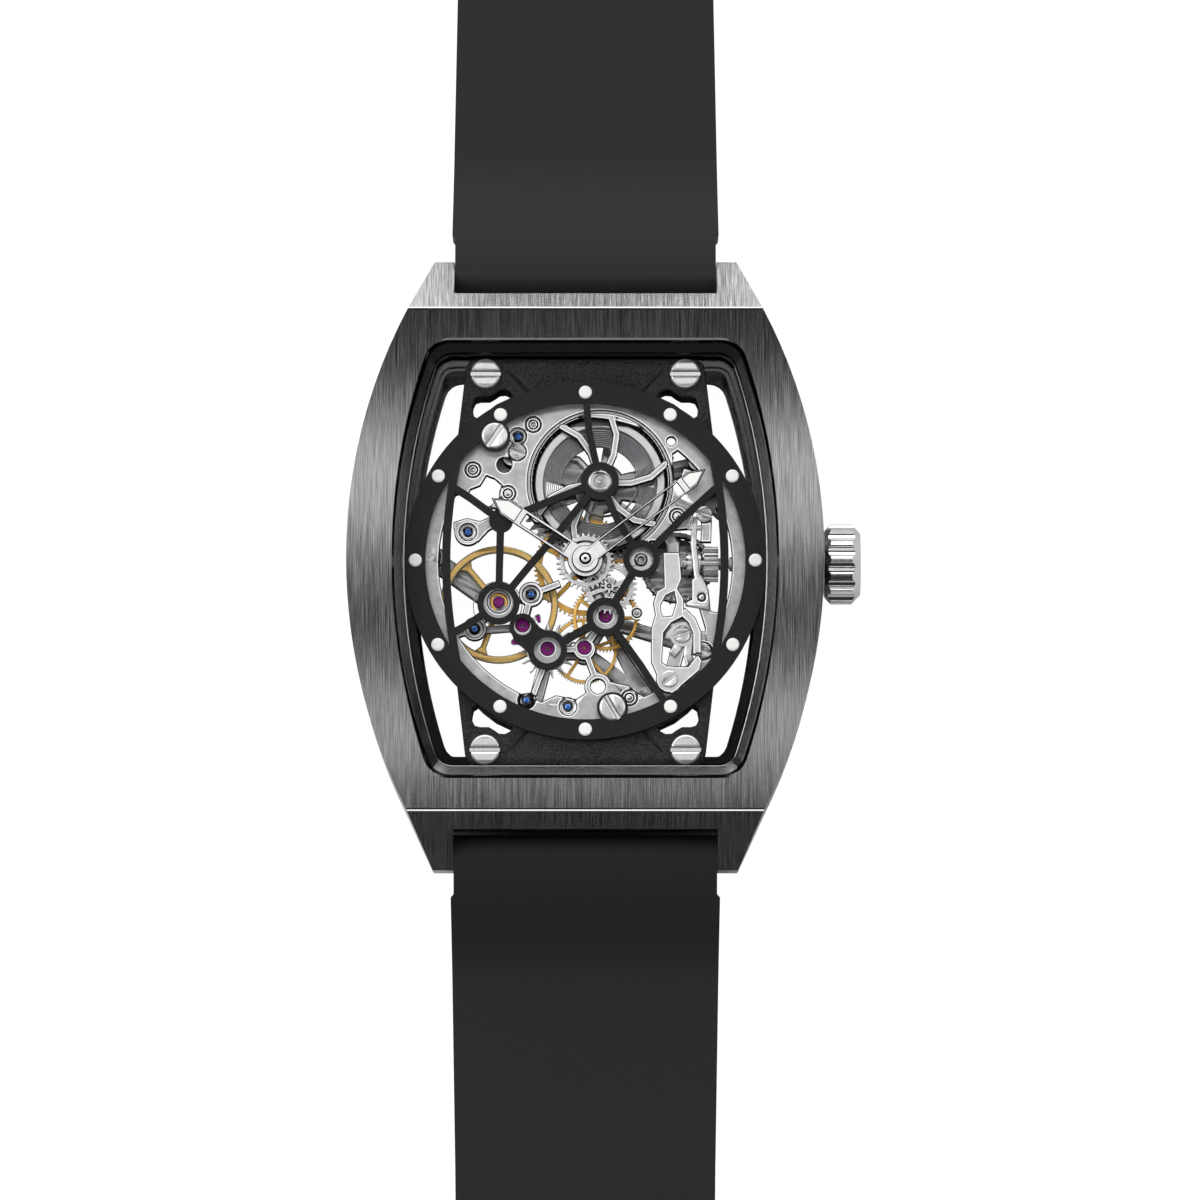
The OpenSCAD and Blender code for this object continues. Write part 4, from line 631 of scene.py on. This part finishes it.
def finish_group(work, group, flank_w, flank_h, chamfer_w, chamfer_h):
    """Rebuilds one upper face with a narrow steep flank and a small chamfer along its borders.

    Where that can't be done, bands of painted shade and painted highlight are laid on it instead, or a
    small face stays as it is.
    """
    loops = [loop for loop in border_loops(group) or [] if len(loop) > 2]
    if not loops:
        return
    outlines = [[(vert.co.x / MM, vert.co.y / MM) for vert in loop] for loop in loops]
    top_z = loops[0][0].co.z
    for share in SIZE_SHARES:
        insets = (flank_w * share, (flank_w + chamfer_w) * share)
        rings = [[inset_loop(outline, inset) for outline in outlines] for inset in insets]
        triangles = filled(rings[1])
        if triangles:
            break
    else:
        if sum(signed_area(outline) for outline in outlines) > 2 * SMALL_FACE_MM2:
            lay_bands(work, outlines, top_z, flank_w, flank_w + chamfer_w)
        return
    bmesh.ops.delete(work, geom=list(group), context="FACES_KEEP_BOUNDARY")
    inner_verts = []
    for loop, middle_ring, inner_ring in zip(loops, *rings):
        middle_z = top_z - chamfer_h * share * MM
        middle = [work.verts.new((x * MM, y * MM, middle_z)) for x, y in middle_ring]
        inner = [work.verts.new((x * MM, y * MM, top_z)) for x, y in inner_ring]
        for vert in loop:
            vert.co.z = top_z - (flank_h + chamfer_h) * share * MM
        for low_ring, high_ring in ((loop, middle), (middle, inner)):
            for i in range(len(loop)):
                j = (i + 1) % len(loop)
                work.faces.new((low_ring[i], low_ring[j], high_ring[j], high_ring[i]))
        inner_verts += inner
    for triangle in triangles:
        corners = [inner_verts[i] for i in triangle]
        if not work.faces.get(corners):
            work.faces.new(corners)


def edge_finished(node_name, sizes):
    """A copy of the node's mesh in its place, its upper faces finished with flanks and chamfers."""
    shortest_edge_mm, sharp_from_deg = 0.00001, 20
    source = nodes[node_name]
    work = bmesh.new()
    work.from_mesh(source.data)
    work.transform(source.matrix_world)
    bmesh.ops.remove_doubles(work, verts=work.verts, dist=JOIN_MM * MM)
    work.normal_update()
    for group in top_regions(work):
        finish_group(work, group, *sizes)
    bmesh.ops.dissolve_degenerate(work, dist=shortest_edge_mm * MM, edges=work.edges[:])
    work.normal_update()
    mesh = bpy.data.meshes.new(node_name + "_finished")
    work.to_mesh(mesh)
    work.free()
    shade_smooth(mesh)
    mesh.set_sharp_from_angle(angle=math.radians(sharp_from_deg))
    obj = add_object(node_name + "_finished", mesh)
    # Painted shade and painted highlight materials for the bands that lay_bands lays
    bright = "painted_gilt_highlight" if "gilt" in slot_of[node_name] else "painted_edge_highlight"
    for finish in (slot_of[node_name], "painted_edge_shade", bright):
        mesh.materials.append(finishes[finish])
    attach(obj, body_of[node_name])
    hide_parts(node_name)


# Flank width and height, chamfer width and height, and the nodes that have them
# On metals the flank takes the painted wall shade and the chamfer the painted rim highlight
EDGES_MM = {
    (0.08, 0.16, 0.09, 0.06): [
        "main_plate", "barrel_bridge", "train_bridge", "balance_cock", "pallet_bridge",
        "keyless_cover", "frame_screws", "dial_screws", "barrel"],
    (0.06, 0.1, 0.07, 0.04): [
        "setting_lever", "yoke", "click", "barrel_arbor", "balance_wheel", "frame_upper",
        "frame_lower"],
    (0.14, 0.12, 0.1, 0.07): ["plate_pins"],
    (0.04, 0.06, 0.04, 0.03): ["plate_screws", "bridge_screws", "hour_markers"],
    (0.03, 0.05, 0.03, 0.02): [
        "hour_wheel", "minute_wheel", "cannon_pinion", "setting_wheel", "ratchet_wheel",
        "crown_wheel", "centre_wheel", "third_wheel", "fourth_wheel", "escape_wheel",
        "pallet_fork"],
}
for sizes, names in EDGES_MM.items():
    for edged_name in names:
        edge_finished(edged_name, sizes)


def make_hand(name, body, turn_deg, low, length, slot_to, half_w, hub_r, hole_r, rail_w):
    """A hand of two rails with an open slot, a bored hub and a tip with a luminous filling, in mm.

    turn_deg turns it anticlockwise from +X; low is its underside and slot_to the slot's end.
    """
    # The leaning flank takes the painted wall shade of hand_steel, a dark outline round the hand
    thick, flank, lume_flank = 0.2, 0.08, 0.01
    tip_len, slot_from, cross_bar, lume_inset, lume_point_inset = 1.4, 1.9, 0.6, 0.2, 0.4
    lume_above_low, lume_below_high = 0.02, 0.03
    hub_turn = math.degrees(math.asin(half_w / hub_r))
    outer = arc_points(0, 0, hub_r, hub_turn, 360 - hub_turn, 40)
    outer += [(length - tip_len, -half_w), (length, 0), (length - tip_len, half_w)]
    inner_w = half_w - rail_w
    slot = [(slot_from, inner_w), (slot_to, inner_w), (slot_to, -inner_w), (slot_from, -inner_w)]
    lume_w = half_w - lume_inset
    lume_from, lume_to = slot_to + cross_bar, length - tip_len
    pocket = [(lume_from, -lume_w), (lume_to, -lume_w), (length - lume_point_inset, 0),
              (lume_to, lume_w), (lume_from, lume_w)]
    turn = math.radians(turn_deg)

    def placed(points):
        return [(x * math.cos(turn) - y * math.sin(turn), x * math.sin(turn) + y * math.cos(turn), z)
                for x, y, z in points]

    high = low + thick
    # Clockwise and one step short of a full turn, so that its first point isn't there twice
    bore = arc_points(0, 0, hole_r, 360, 12, 29)
    points, faces = flat_plate(outer, [bore, slot, pocket[::-1]], low, high, flank)
    new_piece(name + "_body", placed(points), faces, body, "hand_steel", [name], smooth=False)
    points, faces = flat_plate(pocket, [], low + lume_above_low, high - lume_below_high, lume_flank)
    new_piece(name + "_lume", placed(points), faces, body, "marker_white", smooth=False)


make_hand("hour_hand", "hour", 146.5, low=8.0, length=9.5, slot_to=6.2, half_w=0.78, hub_r=1.5,
          hole_r=0.64, rail_w=0.3)
make_hand("minute_hand", "minute", 37, low=8.5, length=12.7, slot_to=10, half_w=0.71, hub_r=1.15,
          hole_r=0.44, rail_w=0.23)


def blacken_faces(piece, is_black):
    """Gives black to the faces whose middle, in mm, passes the test."""
    piece.data.materials.append(finishes["flange_black"])
    for face in piece.data.polygons:
        if is_black(face.center / MM):
            face.material_index = 1


def make_hand_cap():
    """The turned cap on the minute hand: a bright rim, with painted shade in black on its groove and on
    the sunk centre of its small dome.
    """
    low_z, rim_z, groove_z, groove_from, groove_to, centre_r = 8.705, 8.79, 8.73, 0.34, 0.48, 0.1
    profile = [(0, low_z), (0.68, low_z), (0.7, 8.74), (0.66, rim_z), (0.52, rim_z),
               (groove_to, groove_z), (groove_from, groove_z), (0.33, 8.8), (0.27, 8.84), (0.13, 8.845),
               (centre_r, 8.78), (0, 8.78)]
    points, faces = turned(profile)
    cap = new_piece("hand_cap", points, faces, "minute", "hand_steel")

    def is_black(middle):
        r = math.hypot(middle.x, middle.y)
        return middle.z > groove_z - 0.01 and (groove_from < r < groove_to + 0.02 or r < centre_r + 0.02)

    # Painted shade on the groove and the sunk centre
    blacken_faces(cap, is_black)


make_hand_cap()


def make_blue_screws():
    """The six small blued screws: a dark turned head round a blue dome."""
    places = [(-5.7, 10.78), (-9.9, 2.63), (-4.57, -2.66), (-9.32, -5.6), (-4.95, -11.65),
              (-1.46, -12.19)]
    shank_r, shank_z, head_r = 0.28, 5.25, 0.45
    dome_r, dome_z, dome_h, dome_steps = 0.27, 5.83, 0.12, 6
    profile = [(0, shank_z), (shank_r, shank_z), (shank_r, 5.72), (head_r, 5.75), (head_r, 5.84),
               (head_r - 0.05, 5.88), (dome_r + 0.05, 5.87), (dome_r + 0.01, dome_z)]
    for i in range(dome_steps):
        t = math.radians(90 * i / dome_steps)
        profile.append((dome_r * math.cos(t), dome_z + dome_h * math.sin(t)))
    profile.append((0, dome_z + dome_h))
    points, faces = joined_shapes([turned(profile, place, 32) for place in places])
    screws = new_piece("blued_screws", points, faces, "case", "blue_steel", ["blue_screws"])
    blacken_faces(screws, lambda middle: min(math.hypot(middle.x - x, middle.y - y)
                                             for x, y in places) > dome_r + 0.005)


def make_shock_setting():
    """The shock setting of the balance: a polished block, a gilt lyre spring and a ruby ring."""
    centre = (-7.3, -3.3)
    hole_r, block_r, block_low, block_top, seat_z = 0.16, 0.95, 5.2, 5.95, 5.5
    block = [(hole_r, block_low), (block_r, block_low), (block_r, 5.9), (0.91, block_top),
             (0.8, block_top), (0.76, 5.9), (0.74, 5.6), (0.5, seat_z), (hole_r, seat_z),
             (hole_r, block_low)]
    points, faces = turned(block, centre)
    new_piece("shock_block", points, faces, "case", "polished_steel", ["shock_spring"])
    jewel_hole_r, jewel_r, jewel_low = 0.29, 0.45, 5.51
    ring = [(jewel_hole_r, jewel_low), (jewel_r, jewel_low), (jewel_r, 5.7), (0.4, 5.75),
            (jewel_hole_r, 5.7), (jewel_hole_r, jewel_low)]
    points, faces = turned(ring, centre)
    new_piece("shock_jewel", points, faces, "case", "ruby")
    lyre_r, lobes, lobe_depth, lyre_half_w = 0.61, 3, 0.03, 0.1
    lyre_from_deg, lyre_turn_deg, steps = -35, 290, 60
    inner, outer = [], []
    for i in range(steps + 1):
        turn = math.radians(lyre_from_deg + lyre_turn_deg * i / steps)
        r = lyre_r + lobe_depth * math.cos(lobes * turn)
        for edge, side_r in ((inner, r - lyre_half_w), (outer, r + lyre_half_w)):
            edge.append((centre[0] + side_r * math.cos(turn), centre[1] + side_r * math.sin(turn)))
    points, faces = flat_plate(outer + inner[::-1], [], 5.76, 5.88, 0.02)
    new_piece("lyre_spring", points, faces, "case", "gilt", smooth=False)


make_blue_screws()
make_shock_setting()


def make_painted_ridge_lines():
    """A strip of painted highlight for the polished bevel and a strip of painted shade in the seam,
    where the bezel meets each lug slope.
    """
    half_w, ridge_y, top_z, foot_depth = 14.88, 21.2, 9.2, 0.02
    # The bevel strip is a painted highlight and the other a painted shade
    painted_strips = (("bevel", "painted_edge_highlight", 0.0, 0.12, 0.012), ("joint", "painted_edge_shade", -0.13, 0.0, 0.03))
    for side, place in ((1, "upper"), (-1, "lower")):
        for kind, finish, start, end, lift in painted_strips:
            low_y, high_y = side * (ridge_y + start), side * (ridge_y + end)
            corners = [(-half_w, low_y), (half_w, low_y), (half_w, high_y), (-half_w, high_y)]
            points = [(x, y, top_z + z) for z in (-foot_depth, lift) for x, y in corners]
            faces = [(0, 1, 2, 3), (4, 5, 6, 7), (0, 1, 5, 4), (1, 2, 6, 5), (2, 3, 7, 6), (3, 0, 4, 7)]
            new_piece(place + "_ridge_" + kind, points, faces, "case", finish, smooth=False)


make_painted_ridge_lines()


def make_flange():
    """The stepped and polished inner flange between the crystal and the dial ring, with a painted
    highlight on two of its slopes.
    """
    inner_steps = ((0, 9.62), (0.14, 9.2), (0.2, 9.15), (0.82, 8.5), (0.86, 8.42), (0.9, 7.85),
                   (0.97, 7.8), (0.98, 7.22))
    outer_steps = ((0.35, 7.22), (0.55, 7.3), (0.55, 9.4))
    # Counted from the top edge: the two slopes that show lighter in the photograph, where the painted
    # highlight goes
    painted_highlight_steps = (2, 5)
    top_half_w, top_half_h, side_r, top_corner_r, outer_corner_r = 16.18, 18.42, 52, 2, 2.2
    end_inset_share, corner_inset_share = 1.08, 0.5
    rings = []
    for inset, z in inner_steps:
        outline = tonneau(top_half_w - inset, side_r, top_half_h - inset * end_inset_share,
                          top_corner_r - inset * corner_inset_share)
        rings.append([(x, y, z) for x, y in outline])
    for outset, z in outer_steps:
        outline = tonneau(top_half_w + outset, side_r, top_half_h + outset, outer_corner_r)
        rings.append([(x, y, z) for x, y in outline])
    rings.append(rings[0])
    points, faces = lofted(rings)
    flange = new_piece("flange", points, faces, "case", "flange_black", ["rehaut"], smooth=False)
    flange.data.materials.append(finishes["flange_painted_highlight"])
    count = len(rings[0])
    for face in flange.data.polygons:
        if face.index // count in painted_highlight_steps:
            face.material_index = 1


make_flange()


def make_mainspring():
    """The wound mainspring: a fine flat ribbon, in as many turns as the photograph shows."""
    cx, cy = 1.23, 6.85
    arbor_r, inner_r, outer_r, turns, thick = 1.02, 3.3, 5.25, 12, 0.07
    low, high, start_deg, steps_a_turn = 3.68, 4.74, 20, 72
    steps = (turns + 1) * steps_a_turn
    points = []
    for i in range(steps + 1):
        t = i / steps_a_turn
        angle = t * math.tau + math.radians(start_deg)
        if t < 1:
            r = arbor_r + (inner_r - arbor_r) * t
        else:
            r = inner_r + (outer_r - inner_r) * (t - 1) / turns
        for side, z in ((-1, low), (1, low), (1, high), (-1, high)):
            side_r = r + side * thick / 2
            points.append((cx + side_r * math.cos(angle), cy + side_r * math.sin(angle), z))
    faces = [(0, 1, 2, 3), tuple(steps * 4 + k for k in (3, 2, 1, 0))]
    for i in range(steps):
        for k in range(4):
            m = (k + 1) % 4
            faces.append((i * 4 + k, (i + 1) * 4 + k, (i + 1) * 4 + m, i * 4 + m))
    new_piece("mainspring_coils", points, faces, "barrel", "spring_steel", ["mainspring"], smooth=False)


make_mainspring()


# Floor, light and camera

def area_light(name, size, radiance, place, look_at=(0, 0, 0)):
    """A soft box of size (x, y) metres at place, facing look_at; a mirror shows it at its radiance."""
    data = bpy.data.lights.new(name, "AREA")
    data.shape = "RECTANGLE"
    data.size, data.size_y = size
    data.energy = radiance * math.pi * size[0] * size[1]
    light = add_object(name, data)
    light.location = place
    light.rotation_mode = "QUATERNION"
    light.rotation_quaternion = (Vector(look_at) - Vector(place)).to_track_quat("-Z", "Y")


def floor_material():
    """White floor that keeps a soft shadow, and stays bright where the camera sees it."""
    grain, glow_strength, glow_share = 30, 1.12, 0.9
    mat = bpy.data.materials.new("floor_white")
    mat.use_nodes = True
    tree = mat.node_tree
    shader = tree.nodes["Principled BSDF"]
    out = tree.nodes["Material Output"]
    colour = mixed(tree, placed_noise(tree, grain), (0.86, 0.86, 0.86), (0.88, 0.88, 0.88))
    tree.links.new(colour, shader.inputs["Base Color"])
    shader.inputs["Roughness"].default_value = 0.9
    glow = tree.nodes.new("ShaderNodeEmission")
    glow.inputs["Strength"].default_value = glow_strength
    path = tree.nodes.new("ShaderNodeLightPath")
    mix = tree.nodes.new("ShaderNodeMixShader")
    share = math_node(tree, "MULTIPLY", path.outputs["Is Camera Ray"], glow_share)
    tree.links.new(share, mix.inputs["Fac"])
    tree.links.new(shader.outputs["BSDF"], mix.inputs[1])
    tree.links.new(glow.outputs["Emission"], mix.inputs[2])
    tree.links.new(mix.outputs["Shader"], out.inputs["Surface"])
    return mat


def make_floor():
    """A large floor just under the watch."""
    half, gap = 3.0, 0.02 * MM
    corners = [(-half, -half, 0), (half, -half, 0), (half, half, 0), (-half, half, 0)]
    mesh = bpy.data.meshes.new("floor")
    mesh.from_pydata(corners, [], [(0, 1, 2, 3)])
    mesh.materials.append(floor_material())
    floor = add_object("floor", mesh)
    floor.location.z = -gap


make_floor()

world = bpy.data.worlds.new("room")
bpy.context.scene.world = world
world.use_nodes = True
world.node_tree.nodes["Background"].inputs["Color"].default_value = (0.5, 0.5, 0.5, 1)
world.node_tree.nodes["Background"].inputs["Strength"].default_value = 0.1

# Soft boxes above, beside and behind the watch
area_light("top_box", (0.7, 0.1), 2.8, (0, 0.145, 0.6))
area_light("left_box", (0.5, 0.9), 3.6, (-0.6, 0.15, 0.4))
area_light("right_box", (0.3, 0.7), 2.2, (0.6, 0.1, 0.35))
area_light("low_box", (0.7, 0.09), 2.4, (0, -0.072, 0.75))
area_light("back_box", (0.9, 0.24), 4.0, (0, 0.6, 0.13), (0, 0, 0.01))
area_light("upper_ridge_box", (0.9, 0.12), 4.5, (0, 0.5, 0.36))
area_light("lower_ridge_box", (0.9, 0.05), 3.0, (0, -0.38, 0.6))


def make_camera():
    """The camera of the photograph: over the dial, leaning a little to 6 o'clock."""
    lean, distance, frame_width = math.radians(7.5), 0.6, 100.8 * MM
    target = Vector((1.23 * MM, -3.32 * MM, 7.2 * MM))
    data = bpy.data.cameras.new("camera")
    data.sensor_width = 36
    data.lens = data.sensor_width * distance / frame_width
    data.clip_start, data.clip_end = 0.05, 10
    cam = add_object("camera", data)
    back = Vector((0, -math.sin(lean), math.cos(lean)))
    cam.location = target + back * distance
    cam.rotation_mode = "QUATERNION"
    cam.rotation_quaternion = (-back).to_track_quat("-Z", "Y")
    bpy.context.scene.camera = cam


make_camera()
bpy.context.scene.view_settings.view_transform = "Standard"
